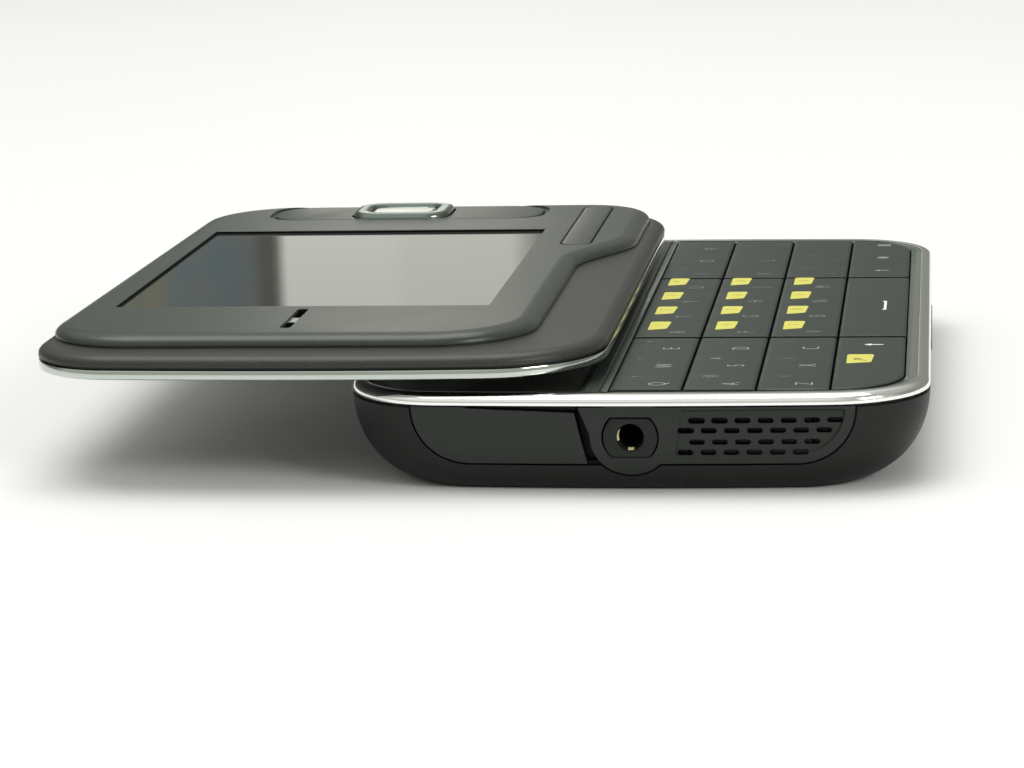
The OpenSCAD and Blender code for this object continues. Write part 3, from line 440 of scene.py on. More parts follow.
def make_finishes(colours):
    """One material for each finish of the phone."""
    FINISHES.update(
        housing=plastic("soft_touch_black", tuple(colours.housing), 0.48, 0.18, 0.008, 0.05,
                        gloss=0.24),
        end=plastic("end_panel_grey", tuple(colours.end), 0.38, 0.2, 0.006, 0.05, gloss=0.3),
        keys=plastic("key_grey", tuple(colours.keys), 0.42, 0.16, 0.004, 0.04, gloss=0.33),
        band=plastic("glossy_band", tuple(colours.band), 0.24, 0.5, 0.001, 0.03, coat=0.5),
        # Painted shade: darker copies of the band's plastic for the sunk deck and for the shelf
        # beside the keys, which lie under the upper half
        deck=plastic("deck_painted_shade", (0.03, 0.031, 0.025), 0.36, 0.3, 0.003, 0.04, gloss=0.5),
        shelf=plastic("shelf_painted_shade", (0.03, 0.036, 0.031), 0.36, 0.3, 0.002, 0.04, gloss=0.45),
        # Partly painted glint: bright matte gold for the socket's real contacts, laid where their
        # glints show
        contact=plastic("contact_gold", (1.0, 0.86, 0.5), 0.3, 0.3, 0.001, 0.05, gloss=1.0),
        insert=plastic("insert_black", (0.0105, 0.013, 0.0108), 0.42, 0.2, 0.004, gloss=0.24),
        # Painted shade: a near-black copy laid on the walls of seams, slots, key gaps and the
        # display's window, where shade falls
        wall=plastic("wall_painted_shade", (0.003, 0.0035, 0.003), 0.6, 0.3, 0.004, gloss=0.1),
        face=plastic("face_green_grey", tuple(colours.face), 0.3, 0.28, 0.012, 0.03, gloss=0.34,
                     mottle=0.45),
        inner=plastic("inner_black", (0.02, 0.021, 0.022), 0.5, 0.3, 0.008),
        wrap=plastic("battery_wrap", (0.03, 0.045, 0.08), 0.35, 3, 0.01),
        mat=plastic("key_mat_rubber", (0.01, 0.011, 0.01), 0.6, 0.3, 0.006, gloss=0.2),
        film=plastic("dome_film", (0.6, 0.5, 0.28), 0.25, 0.8, 0.002),
        flex=plastic("flat_cable", (0.16, 0.085, 0.03), 0.3, 0.5, 0.002),
        white=plastic("print_white", (0.34, 0.36, 0.35), 0.5, 0.2, 0.001),
        bright_print=plastic("print_bright", (0.8, 0.8, 0.78), 0.5, 0.2, 0.001),
        grey_print=plastic("print_grey", (0.2, 0.21, 0.21), 0.5, 0.2, 0.001),
        badge=plastic("print_yellow", tuple(colours.badge), 0.5, 0.2, 0.001),
        dark_print=plastic("print_dark", (0.3, 0.27, 0.05), 0.5, 0.2, 0.001),
        cover=speckled("speckled_cover", tuple(colours.cover)),
        chrome=polished("polished_trim", tuple(colours.chrome)),
        # Painted shade: a darker copy of the trim's chrome for the upper half's strip
        strip=polished("polished_strip", (0.56, 0.6, 0.565)),
        ring=metal("dark_plated_ring", (0.22, 0.27, 0.24), 0.12, 0.04),
        steel=metal("sheet_steel", (0.6, 0.61, 0.62), 0.28, 0.14),
        copper=metal("antenna_film", (0.62, 0.33, 0.16), 0.3),
        gold=metal("gold_plate", (0.86, 0.62, 0.24), 0.18),
        silver=metal("satin_silver", (0.8, 0.84, 0.81), 0.16, 0.05),
        glass=glass("display_gloss", tuple(colours.glass)),
        lens=glass("lens_gloss", (0.01, 0.011, 0.013)),
        board=board("board_green"),
        mesh=mesh_cloth("dust_mesh"),
    )


# ---- Outlines ----

def turn(share):
    """Angle of a share of a full turn."""
    return 2 * math.pi * share


def arc(x, y, r, first, last, steps):
    """Points on an arc, angles in shares of a turn."""
    angles = [turn(first + (last - first) * i / steps) for i in range(steps + 1)]
    return [(x + r * math.cos(a), y + r * math.sin(a)) for a in angles]


def plan_corner(hx, hy, r, bow, steps):
    """Round corner from the side to where the bowed end of a plan outline begins."""
    tilt = math.atan(2 * bow / (hx - r))
    y = hy - bow * (1 + r * math.sin(tilt) / (hx - r)) ** 2 - r * math.cos(tilt)
    return arc(hx - r, y, r, 0, 0.25 - tilt / turn(1), steps)


def plan(hx, hy, r, r_left=None, bow=END_BOW, steps=16, across=16):
    """Closed plan outline: straight long sides, bowed short ends, round corners."""
    r_left = r if r_left is None else r_left
    right = plan_corner(hx, hy, r, bow, steps)
    left = [(-x, y) for x, y in plan_corner(hx, hy, r_left, bow, steps)]
    start, end = right[-1][0], left[-1][0]
    xs = [start + (end - start) * i / across for i in range(1, across)]
    end_points = [(x, hy - bow * (x / (hx - (r if x > 0 else r_left))) ** 2) for x in xs]
    far = right + end_points + left[::-1]
    return far + [(x, -y) for x, y in reversed(far)]


def body_plan(dx, dy):
    """The phone's own outline, moved in."""
    return plan(HALF_W - dx, HALF_L - dy, CORNER_R - (dx + dy) / 2)


def slider_plan(d):
    """The upper half's outline, moved in, about its own middle."""
    return plan(SLIDER_HALF_W - d, SLIDER_HALF_L - d, SLIDER_R_RIGHT - d, SLIDER_R_LEFT - d)


def rounded(w, l, r, steps=8):
    """Rectangle with round corners about the origin."""
    x, y = w / 2 - r, l / 2 - r
    return (arc(x, y, r, 0, 0.25, steps) + arc(-x, y, r, 0.25, 0.5, steps)
            + arc(-x, -y, r, 0.5, 0.75, steps) + arc(x, -y, r, 0.75, 1, steps))


def moved(outline, x, y):
    """Outline, shifted."""
    return [(px + x, py + y) for px, py in outline]


def at(outline, z):
    """Outline as a ring at height z."""
    return [(x, y, z) for x, y in outline]


def upper(outline, z):
    """Ring of the upper half: its own outline, at its open place."""
    return [(x + SLIDER_X, y, z) for x, y in outline]


# ---- Solids ----

def new_object(name, points, faces):
    """Object of a closed mesh, normals outwards."""
    mesh = bpy.data.meshes.new(name)
    mesh.from_pydata(points, [], faces)
    work = bmesh.new()
    work.from_mesh(mesh)
    bmesh.ops.recalc_face_normals(work, faces=work.faces)
    work.to_mesh(mesh)
    work.free()
    made = bpy.data.objects.new(name, mesh)
    bpy.context.scene.collection.objects.link(made)
    return made


def loft(name, rings, hollow=False):
    """Solid through rings of equal length; a hollow one joins its last ring to its first."""
    count = len(rings[0])
    points = [p for ring in rings for p in ring]
    pairs = [(j, j + 1) for j in range(len(rings) - 1)]
    if hollow:
        pairs.append((len(rings) - 1, 0))
    faces = [
        (a * count + i, a * count + (i + 1) % count, b * count + (i + 1) % count, b * count + i)
        for a, b in pairs for i in range(count)
    ]
    if not hollow:
        faces.append(tuple(range(count)))
        faces.append(tuple((len(rings) - 1) * count + i for i in range(count)))
    return new_object(name, points, faces)


def prism(name, outline, z0, z1):
    """Outline in X and Y, drawn out along Z."""
    return loft(name, [at(outline, z0), at(outline, z1)])


def prism_y(name, outline, y0, y1):
    """Outline in X and Z, drawn out along Y."""
    return loft(name, [[(x, y, z) for x, z in outline] for y in (y0, y1)])


def prism_x(name, outline, x0, x1):
    """Outline in Y and Z, drawn out along X."""
    return loft(name, [[(x, y, z) for y, z in outline] for x in (x0, x1)])


def block(name, lowest, highest):
    """Box between two corners."""
    (x0, y0, z0), (x1, y1, z1) = lowest, highest
    return prism(name, [(x0, y0), (x1, y0), (x1, y1), (x0, y1)], z0, z1)


def disc(x, y, r, steps=48):
    """Circle about a point."""
    return arc(x, y, r, 0, 1 - 1 / steps, steps - 1)


def bake(piece):
    """Turn a piece's modifiers into its mesh."""
    seen = piece.evaluated_get(bpy.context.evaluated_depsgraph_get())
    mesh = bpy.data.meshes.new_from_object(seen)
    piece.modifiers.clear()
    piece.data = mesh
    return piece


def drop(thing):
    """Remove an object that has served its turn."""
    bpy.data.objects.remove(thing)


def combine(piece, others, operation="DIFFERENCE"):
    """Cut the others out of a piece, or join or intersect it with them."""
    for other in others:
        step = piece.modifiers.new("step", "BOOLEAN")
        step.operation = operation
        step.solver = "EXACT"
        step.object = other
        bake(piece)
        drop(other)
    return piece


def soften(piece, width):
    """Small round on a piece's sharp edges."""
    step = piece.modifiers.new("edge", "BEVEL")
    step.width = width
    step.segments = 2
    step.limit_method = "ANGLE"
    step.angle_limit = math.radians(40)
    step.use_clamp_overlap = False
    step.harden_normals = True
    step.miter_outer = "MITER_ARC"
    return bake(piece)


def keep(piece, body, finish, nodes=(), sharp=32):
    """Finish a piece: metres, shading, material, the body it rides on and what it stands for."""
    mesh = piece.data
    mesh.transform(Matrix.Scale(MM, 4))
    mesh.shade_smooth()
    mesh.set_sharp_from_angle(angle=math.radians(sharp))
    if not mesh.materials:
        mesh.materials.append(FINISHES[finish])
    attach(piece, body)
    if nodes:
        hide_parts(*nodes)
    return piece


def paint(piece, finishes, choose=lambda polygon: 0):
    """Give a piece its finishes; choose tells which of them a polygon gets."""
    piece.data.materials.clear()
    for finish in finishes:
        piece.data.materials.append(FINISHES[finish])
    for polygon in piece.data.polygons:
        polygon.material_index = choose(polygon)


def weighted(piece):
    """Let large flat faces rule the shading near cuts."""
    step = piece.modifiers.new("shade", "WEIGHTED_NORMAL")
    step.keep_sharp = True
    step.weight = 80
    return bake(piece)


# ---- Geometry node trees ----

def socket_id(tree, name):
    """Identifier of a tree's named input."""
    return next(i.identifier for i in tree.interface.items_tree if i.name == name)


def row_tree():
    """Copies of a shape in a row: shape, count, first place, step and material as inputs."""
    tree = bpy.data.node_groups.new("Row of shapes", "GeometryNodeTree")
    for name, kind in (("Shape", "NodeSocketObject"), ("Count", "NodeSocketInt"),
                       ("First", "NodeSocketVector"), ("Step", "NodeSocketVector"),
                       ("Material", "NodeSocketMaterial")):
        tree.interface.new_socket(name, in_out="INPUT", socket_type=kind)
    tree.interface.new_socket("Geometry", in_out="OUTPUT", socket_type="NodeSocketGeometry")
    given, line, shape, copies, real, painted, result = (tree.nodes.new(kind) for kind in (
        "NodeGroupInput", "GeometryNodeMeshLine", "GeometryNodeObjectInfo",
        "GeometryNodeInstanceOnPoints", "GeometryNodeRealizeInstances", "GeometryNodeSetMaterial",
        "NodeGroupOutput"))
    for start, output, end, entry in (
            (given, "Count", line, "Count"), (given, "First", line, "Start Location"),
            (given, "Step", line, "Offset"), (given, "Shape", shape, "Object"),
            (line, "Mesh", copies, "Points"), (shape, "Geometry", copies, "Instance"),
            (copies, "Instances", real, "Geometry"), (real, "Geometry", painted, "Geometry"),
            (given, "Material", painted, "Material"), (painted, "Geometry", result, "Geometry")):
        tree.links.new(start.outputs[output], end.inputs[entry])
    return tree


def row_of(name, shape, count, first, step, finish):
    """A plain mesh of a shape repeated in a row."""
    tree = bpy.data.node_groups.get("Row of shapes") or row_tree()
    mesh = bpy.data.meshes.new(name)
    made = bpy.data.objects.new(name, mesh)
    bpy.context.scene.collection.objects.link(made)
    nodes = made.modifiers.new("row", "NODES")
    nodes.node_group = tree
    for key, value in (("Shape", shape), ("Count", count), ("First", first), ("Step", step),
                       ("Material", FINISHES[finish])):
        nodes[socket_id(tree, key)] = value
    return bake(made)


def joined(name, pieces):
    """One object of several pieces' meshes, each with its own material."""
    work = bmesh.new()
    materials = []
    for piece in pieces:
        first = len(work.faces)
        work.from_mesh(piece.data)
        work.faces.ensure_lookup_table()
        own = list(piece.data.materials)
        for face in work.faces[first:]:
            material = own[face.material_index]
            if material not in materials:
                materials.append(material)
            face.material_index = materials.index(material)
    mesh = bpy.data.meshes.new(name)
    work.to_mesh(mesh)
    work.free()
    for material in materials:
        mesh.materials.append(material)
    for piece in pieces:
        drop(piece)
    made = bpy.data.objects.new(name, mesh)
    bpy.context.scene.collection.objects.link(made)
    return made


# ---- Lower half ----

def drawn_in(z, width, fullness):
    """How far a round flank has drawn in at height z."""
    t = max(0.0, min(1.0, 1 - z / HOUSING_H))
    return width * (1 - (1 - t ** fullness) ** (1 / fullness))


def bowl_plan(z, d=0.0):
    """Outline of the lower half at height z, moved in by d."""
    side = drawn_in(z, SIDE_ROUND, SIDE_FULLNESS)
    end = drawn_in(z, END_ROUND, END_FULLNESS)
    return plan(HALF_W - side - d, HALF_L - end - d, CORNER_R - CORNER_TAPER * side - d)


def bowl(name, lip=0.0, inset=0.0):
    """Outside of the lower half, filled, moved in by inset; lip draws its top edge in."""
    steps = 22
    heights = [HOUSING_H * (1 - math.sin(turn(0.25) * (1 - i / steps)) ** 0.975)
               for i in range(steps + 1)]
    if lip:
        heights = [z for z in heights if z < HOUSING_H - lip - 0.1] + [HOUSING_H - lip]
    rings = [at(bowl_plan(z, inset), z) for z in heights]
    if lip:
        rings.append(at(bowl_plan(HOUSING_H, lip + 0.1), HOUSING_H - lip + 0.02))
        rings.append(at(bowl_plan(HOUSING_H, lip + 0.1), HOUSING_H))
    return loft(name, rings)


def inlay_side(side, d, steps=14):
    """Round end of the near end's inlay, from its top down to its lower edge."""
    angles = [turn(0.25 * i / steps) for i in range(steps + 1)]
    return [(side * (PANEL_X - PANEL_ROUND + (PANEL_ROUND + d) * math.cos(a)),
             PANEL_LOW + PANEL_ROUND - (PANEL_ROUND + d) * math.sin(a)) for a in angles]


def inlay(d):
    """Outline of the near end's inlay, grown by d."""
    return ([(-PANEL_X - d, HOUSING_H + 2)] + inlay_side(-1, d)
            + inlay_side(1, d)[::-1] + [(PANEL_X + d, HOUSING_H + 2)])


def lobe(name, d, y0, y1):
    """Round lobe of the panel about the socket, grown by d."""
    return prism_y(name, disc(JACK_X, JACK_Z, LOBE_R + d, 96), y0, y1)


def insert_outline(d):
    """The socket's insert: a circle with its top and bottom cut flat."""
    top = JACK_Z + INSERT_R * 0.71 + d
    bottom = JACK_Z - INSERT_R * 0.73 - d
    return [(x, max(bottom, min(top, z))) for x, z in disc(JACK_X, JACK_Z, INSERT_R + d, 96)]


def make_housing(sizes):
    """Make the lower housing."""
    shell = bowl("housing_shell", 0.3)
    floor = high("battery_frame").z - 4.25
    rings = []
    for share in (0, 0.2, 0.45, 0.7, 1):
        z = floor + share * (HOUSING_H - floor)
        x = min(HALF_W - drawn_in(z, SIDE_ROUND, SIDE_FULLNESS) - WALL, HOLLOW_X)
        y = min(HALF_L - drawn_in(z, END_ROUND, END_FULLNESS) - WALL, HOLLOW_Y)
        rings.append(at(moved(plan(x, y, CORNER_R - 2.5), 0, HOLLOW_SHIFT), z + (share == 1)))
    seat_low, seat_high = ends("battery_cover")
    bay_low, bay_high = ends("battery")
    cutters = [
        loft("hollow", rings),
        prism_y("inlay_seat", inlay(SEAM), -HALF_L - 2, PANEL_BACK + 0.1),
        lobe("lobe_seat", SEAM, -HALF_L - 2, PANEL_BACK + 0.1),
        prism_y("lobe_gap", [(DOOR_EDGE - 0.3, PANEL_TOP), (DOOR_EDGE + 0.3, JACK_Z - 1),
                             (DOOR_EDGE + 1, PANEL_LOW + 0.1), (JACK_X - 1, PANEL_LOW + 0.1),
                             (JACK_X - 4.2, PANEL_TOP)], PANEL_BACK - 1, PANEL_BACK + 1.2),
        prism_y("insert_hole", insert_outline(0.5), PANEL_BACK - 1, -HALF_L + 4.5),
        block("speaker_window", (5.4, PANEL_BACK - 1, JACK_Z - 2),
              (17.6, -HALF_L + 4.5, JACK_Z + 2.2)),
        block("cover_seat", (seat_low.x - 0.12, seat_low.y - 0.12, -1),
              (seat_high.x + 0.12, HALF_L + 1, seat_high.z + 0.05)),
        block("battery_bay", (bay_low.x - 0.15, bay_low.y - 0.15, -1),
              (bay_high.x + 0.15, bay_high.y + 0.15, floor + 0.1)),
    ]
    socket_low, socket_high = ends("usb_socket")
    cutters.append(block("socket_window", (socket_low.x - 0.1, PANEL_BACK - 1, socket_low.z - 0.1),
                         (socket_high.x + 0.1, -HALF_L + 4.5, socket_high.z)))
    play = 0.12
    cutters.append(block(
        "tongue_slot", (TONGUE_LOW[0] - play, PANEL_BACK - 1, JACK_Z + TONGUE_LOW[1] - play),
        (TONGUE_HIGH[0] + play, -HALF_L + 4.5, JACK_Z + TONGUE_HIGH[1] + play)))
    for name, side in (("volume_key", 1), ("camera_key", -1)):
        near, far = ends(name)
        outline = moved(rounded(far.y - near.y - 0.96, 1.94, 0.8), *middle_of(name).yz)
        x0, x1 = sorted((side * (HALF_W - 3.2), side * (HALF_W + 1)))
        cutters.append(prism_x(name + "_slot", outline, x0, x1))
    screws_low, screws_high = ends("housing_screws")
    for x, y in zip(SCREW_COLUMNS, (screws_low.y + CASE_SCREW_R, screws_high.y - CASE_SCREW_R)):
        for side in (-1, 1):
            cutters.append(prism("screw_hole", disc(side * x, y, 1.5, 32), -1, floor + 1))
    cutters.append(prism("lens_hole", disc(LENS.x, LENS.y, 2.9), -1, 4))
    combine(shell, cutters)
    keep(shell, "base", "housing", ["lower_housing"])
    weighted(shell)


def make_rear_cover(sizes):
    """Make the battery cover and camera window."""
    cover_low, cover_high = ends("battery_cover")
    cover = bowl("rear_cover")
    outline = rounded(cover_high.x - cover_low.x, 2 * HALF_L, 0.8)
    y = cover_low.y + HALF_L
    combine(cover, [prism("cover_outline", moved(outline, 0, y), -1, cover_high.z)], "INTERSECT")
    combine(cover, [prism("lens_hole", disc(LENS.x, LENS.y, 2.6), -1, 4)])
    grip = loft("grip", [at(rounded(8.6 - 2 * e, 0.55 - e, 0.2), z)
                         for e, z in ((0, -0.5), (0, 0.1), (0.2, 0.28))])
    grips = row_of("grips", grip, 5, (0, -14, 0), (0, 1.1, 0), "housing")
    drop(grip)
    combine(cover, [grips])
    soften(cover, sizes.edge / MM)
    keep(cover, "rear_cover", "housing", ["battery_cover"])
    window_low, window_high = ends("camera_window")
    r = (window_high.x - window_low.x) / 2
    window = loft("camera_glass", [at(disc(LENS.x, LENS.y, r - d), z) for d, z in (
        (0, window_high.z), (0, window_low.z + 0.1), (0.1, window_low.z))])
    keep(window, "rear_cover", "lens", ["camera_window"])


def round_over(width, foot, top, steps):
    """Insets and heights on a quarter round, from above its foot to its top."""
    angles = [turn(0.25 * i / steps) for i in range(1, steps + 1)]
    return [(width * (1 - math.cos(a)), foot + (top - foot) * math.sin(a)) for a in angles]


def make_trims(sizes):
    """Make the polished rim and strip."""
    rise = RIM_TOP - HOUSING_H
    steps = 9
    profile = [(0.12, 0.14, 0), (0.03, 0.03, 0.05), (0, 0, 0.14), (0, 0, 0.3)]
    profile += [(0.9 * share, 1.25 * share, z) for share, z in round_over(1, 0.3, rise, steps)]
    profile += [(TRIM_SIDE - 0.03, TRIM_END - 0.05, rise - 0.01),
                (TRIM_SIDE, TRIM_END, rise - 0.03), (TRIM_SIDE, TRIM_END, 0)]
    trim = loft("polished_rim", [at(body_plan(dx, dy), HOUSING_H + z) for dx, dy, z in profile],
                hollow=True)
    keep(trim, "base", "chrome", ["base_trim"])

    strip_h = STRIP_TOP - SLIDER_Z
    profile = [(1.7, strip_h), (1.7, 0), (0.34, 0)]
    for i in range(1, steps + 1):
        a = turn(0.25 * i / steps)
        profile.append((0.34 * (1 - math.sin(a)), 0.26 * (1 - math.cos(a))))
    profile += [(0, strip_h - 0.12), (0.04, strip_h - 0.04), (0.14, strip_h)]
    strip = loft("polished_strip", [upper(slider_plan(d), SLIDER_Z + z) for d, z in profile],
                 hollow=True)
    # Painted shade: the strip wears the darker copy of the chrome
    keep(strip, "slider", "strip", ["slider_trim"])


def pad_hole():
    """Opening for the key plates."""
    margin_x, margin_y = KEY_MARGIN_X - 0.02, KEY_MARGIN_Y - 0.02
    pad = prism("pad", body_plan(margin_x, margin_y), HOUSING_H - 2, RIM_TOP + 3)
    left = block("left", (PAD_LEFT - 0.06, -HALF_L, HOUSING_H - 3), (HALF_W, HALF_L, RIM_TOP + 4))
    return combine(pad, [left], "INTERSECT")


def make_bezel(sizes):
    """Make the band round the keys."""
    bezel = loft("key_bezel", [
        at(body_plan(TRIM_SIDE + 0.01, TRIM_END + 0.01), HOUSING_H),
        at(body_plan(TRIM_SIDE + 0.01, TRIM_END + 0.01), BEZEL_TOP)])
    pad = pad_hole()
    groove = block("groove", (PAD_LEFT - 0.95, -HALF_L, BEZEL_TOP - 0.28),
                   (PAD_LEFT - 0.7, HALF_L, RIM_TOP))
    step = prism_y("step", [
        (-HALF_W, DECK_Z), (DECK_EDGE - 0.1, DECK_Z), (DECK_EDGE + 0.15, DECK_Z + 0.1),
        (DECK_EDGE + 0.85, BEZEL_TOP - 0.05), (DECK_EDGE + 1, RIM_TOP + 1), (-HALF_W, RIM_TOP + 1)],
        -HALF_L, HALF_L)
    combine(bezel, [pad, step, groove])
    soften(bezel, 0.06)
    lower = prism("bezel_skirt", moved(plan(HALF_W - 2.3, HALF_L - 2.85, CORNER_R - 2.6), 0, 0.5),
                  HOUSING_H - 0.85, HOUSING_H - 0.001)
    combine(lower, [pad_hole()])

    # Painted shade: the sunk deck and the shelf beside the keys, under the upper half, get darker
    # copies of the band's plastic
    def level(polygon):
        x, y, z = polygon.center
        sunk = z < DECK_Z + 0.02 or x < DECK_EDGE
        shelf = x < PAD_LEFT + 0.1 and abs(y) < HALF_L - TRIM_END
        return 1 if sunk else 2 if shelf else 0

    for piece in (bezel, lower):
        paint(piece, ("band", "deck", "shelf"), level)
    made = joined("bezel", [bezel, lower])
    keep(made, "base", "band", ["keypad_frame"])


# ---- Near end ----

def end_face(x, z):
    """Where the near end's surface lies along Y."""
    bow = END_BOW * (x / (HALF_W - CORNER_R)) ** 2
    return bow - HALF_L + drawn_in(z, END_ROUND, END_FULLNESS)


def speaker_field(d):
    """Sunken field round the speaker slots, moved in by d."""
    top = PANEL_TOP - 0.35 - d
    r = PANEL_ROUND - FIELD_INSET - d
    x = PANEL_X - PANEL_ROUND + math.sqrt(r ** 2 - (PANEL_LOW + PANEL_ROUND - top) ** 2)
    return ([(x, top)] + inlay_side(1, -FIELD_INSET - d)[1:]
            + [(JACK_X + 4.4 + d, PANEL_LOW + FIELD_INSET + d), (JACK_X + 5.1 + d, top)])


def darken_walls(piece):
    """Plain dark finish on the walls of a piece's seams and slots."""
    paint(piece, ("end", "wall"), lambda polygon: int(abs(polygon.normal.y) < 0.4))


def make_near_end(sizes):
    """Make the panel, the door and the socket."""
    pitch, slot_l, slot_h = sizes.slot_pitch / MM, sizes.slot_length / MM, sizes.slot_height / MM
    panel = bowl("panel_and_lobe")
    outline = ([(PANEL_X, PANEL_TOP)] + inlay_side(1, 0)
               + [(JACK_X, PANEL_LOW), (JACK_X - 3.83, JACK_Z), (JACK_X - 5.03, PANEL_TOP)])
    shape = prism_y("panel_shape", outline, -HALF_L - 2, PANEL_BACK)
    combine(shape, [lobe("lobe", 0, -HALF_L - 2, PANEL_BACK)], "UNION")
    combine(panel, [shape], "INTERSECT")
    hole = prism_y("insert_hole", insert_outline(0.15), -HALF_L - 3, PANEL_BACK + 1)
    field = loft("field", [[(x, -HALF_L - 2, z) for x, z in speaker_field(-0.12)]] + [
        [(x, end_face(x, z) + depth, z) for x, z in speaker_field(d)]
        for d, depth in ((-0.12, -0.02), (0.12, FIELD_DEPTH), (0.12, 0.6))])
    combine(field, [bowl("field_floor", inset=FIELD_DEPTH)])
    combine(panel, [field, hole])
    slot = loft("slot", [[(x, y, z) for x, z in rounded(slot_l + d, slot_h + d, 0.27, 5)]
                         for d, y in ((0.12, -HALF_L - 1), (0.12, -HALF_L + 0.36),
                                      (0, -HALF_L + 0.48), (0, PANEL_BACK + 1))])
    for x, z, count in SLOT_ROWS:
        cut = row_of("slots", slot, count, (x + slot_l / 2, 0, JACK_Z + z), (pitch, 0, 0), "end")
        combine(panel, [cut])
    drop(slot)
    darken_walls(panel)
    keep(panel, "base", "end", ["end_panel"])
    weighted(panel)

    door = bowl("socket_door")
    outline = ([(DOOR_EDGE - 0.15, PANEL_TOP), (-PANEL_X, PANEL_TOP)] + inlay_side(-1, 0)
               + [(DOOR_EDGE + 1.1, PANEL_LOW), (DOOR_EDGE + 0.56, JACK_Z - 0.4)])
    combine(door, [prism_y("door_shape", outline, -HALF_L - 2, PANEL_BACK)], "INTERSECT")
    nail = prism_y("nail", [(-16.2, PANEL_TOP - 0.12), (0, PANEL_TOP - 0.75), (0, PANEL_TOP + 1),
                            (-16.2, PANEL_TOP + 1)], -HALF_L - 2, -HALF_L + 1.3)
    combine(door, [nail])
    plug_low = low("usb_socket")
    plug = loft("door_plug", [
        [(x, y, z) for x, z in moved(rounded(6.4 - 2 * e, 1.5 - 2 * e, 0.4), plug_low.x + 3.8,
                                     middle_of("usb_socket").z)]
        for e, y in ((0, PANEL_BACK - 0.1), (0, plug_low.y - 0.15), (0.12, plug_low.y - 0.05))])
    door_far = high("charger_door").y
    tongue = block("door_tongue", (TONGUE_LOW[0], PANEL_BACK - 0.1, JACK_Z + TONGUE_LOW[1]),
                   (TONGUE_HIGH[0], door_far - 0.8, JACK_Z + TONGUE_HIGH[1]))
    head = block("door_head", (-19.9, door_far - 0.8, JACK_Z - 0.65),
                 (-17.1, door_far, JACK_Z + 0.35))
    darken_walls(door)
    for piece in (plug, tongue, head):
        paint(piece, ("end",))
    made = joined("socket_flap", [door, plug, tongue, head])
    keep(made, "charger_flap", "end", ["charger_door"])
    weighted(made)
    make_socket()


def make_socket():
    """Socket insert: its face, a gold-lined bore and the block behind."""
    depth = JACK["dims"]["length_mm"]
    outer = insert_outline(0)
    count = len(outer)
    bore = disc(JACK_X, JACK_Z, JACK_R, count)
    face = JACK_MOUTH

    def ring(points, y, grow=0.0):
        return [(JACK_X + (x - JACK_X) * (1 + grow), y, JACK_Z + (z - JACK_Z) * (1 + grow))
                for x, z in points]

    rings = [ring(outer, face + 3.2), ring(outer, face + 0.12), ring(outer, face + 0.03, -0.015),
             ring(outer, face, -0.04), ring(bore, face, 0.16), ring(bore, face + 0.06, 0.05),
             ring(bore, face + 0.3), ring(bore, face + 0.75, -0.09), ring(bore, face + 1.1, -0.09),
             ring(bore, face + 1.6), ring(bore, face + 3.2)]
    insert = loft("socket_insert", rings, hollow=True)

    # Partly painted glint: gold lines only the left and lower sectors of the bore, where the
    # contacts' glints show
    def gilded(polygon):
        x, z = polygon.center.x - JACK_X, polygon.center.z - JACK_Z
        lined = math.hypot(x, z) < JACK_R + 0.02 and 0.3 < polygon.center.y - face < 1.2
        side = x < -0.78 * JACK_R and -0.3 * JACK_R < z < 0.6 * JACK_R
        under = z < -0.85 * JACK_R and -0.2 * JACK_R < x < 0.25 * JACK_R
        return int(lined and (side or under))

    paint(insert, ("insert", "contact"), gilded)
    back_high = high("jack_insert")
    body = block("socket_body", (JACK_X - 3, face + 3.2, JACK_Z - 2.2),
                 (JACK_X + 3, back_high.y, JACK_Z + JACK_R + 0.2))
    combine(body, [prism_y("bore", bore, face, face + depth)])
    paint(body, ("insert",))
    made = joined("headset_socket", [insert, body])
    keep(made, "base", "insert", ["jack_insert"])


def make_side_keys(sizes):
    """Make the volume and camera keys."""
    for name, body in (("volume_key", "volume"), ("camera_key", "shutter")):
        near, far = ends(name)
        side = 1 if near.x > 0 else -1
        _, y, z = middle_of(name)
        outer = far.x if side > 0 else near.x
        inner = near.x if side > 0 else far.x
        length = far.y - near.y - 1.2
        height = far.z - near.z - 0.6
        rings = []
        for d, x in ((0, inner + side * 0.4), (0, outer - side * 0.3), (0.06, outer - side * 0.16),
                     (0.2, outer - side * 0.05), (0.45, outer)):
            outline = rounded(length - 2 * d, height - 2 * d, max(0.1, 0.7 - d))
            rings.append([(x, y + py, z + pz) for py, pz in outline])
        key = loft(name + "_bar", rings)
        x0, x1 = sorted((inner, inner + side * 0.4))
        flange = block(name + "_flange", (x0, near.y, near.z), (x1, far.y, far.z))
        for piece in (key, flange):
            paint(piece, ("end",))
        made = joined(name + "_piece", [key, flange])
        keep(made, body, "end", [name])


# ---- Keypad ----

KEY_BLOCKS = (
    ("keys_qwe", 0, 0, 3), ("keys_rtyu", 0, 3, 4), ("keys_iop", 0, 7, 3),
    ("keys_asd", 1, 0, 3), ("keys_fghj", 1, 3, 4), ("keys_kl", 1, 7, 3),
    ("keys_zxc", 2, 0, 3), ("keys_vbnm", 2, 3, 4), ("keys_comma", 2, 7, 3),
    ("shift_key", 3, 0, 3), ("space_key", 3, 3, 4), ("symbol_keys", 3, 7, 3),
)
LETTERS = ("QWERTYUIOP", "ASDFGHJKL", "ZXCVBNM,.")
SIGNS = ("!\"?", "@&-", "()/")
FAR_SIGNS = ("+=%", ":;", "<>")
NUMBERS = ("123*", "456#", "7890")
LETTER_AT = (1.1, -1.7)
SIGN_AT = (-1.25, 2.1)
BADGE_SIZE = (2.2, 4.8)
SHIFT_BADGE_SIZE = (2.7, 4.7)
LETTER_WIDTH = 0.75
LETTER_THINNING = -0.042
END_EDGE = 0.16
END_DROP = 0.1
ROUND_SHARES = (0, 0.06, 0.18, 0.38, 0.66, 1)


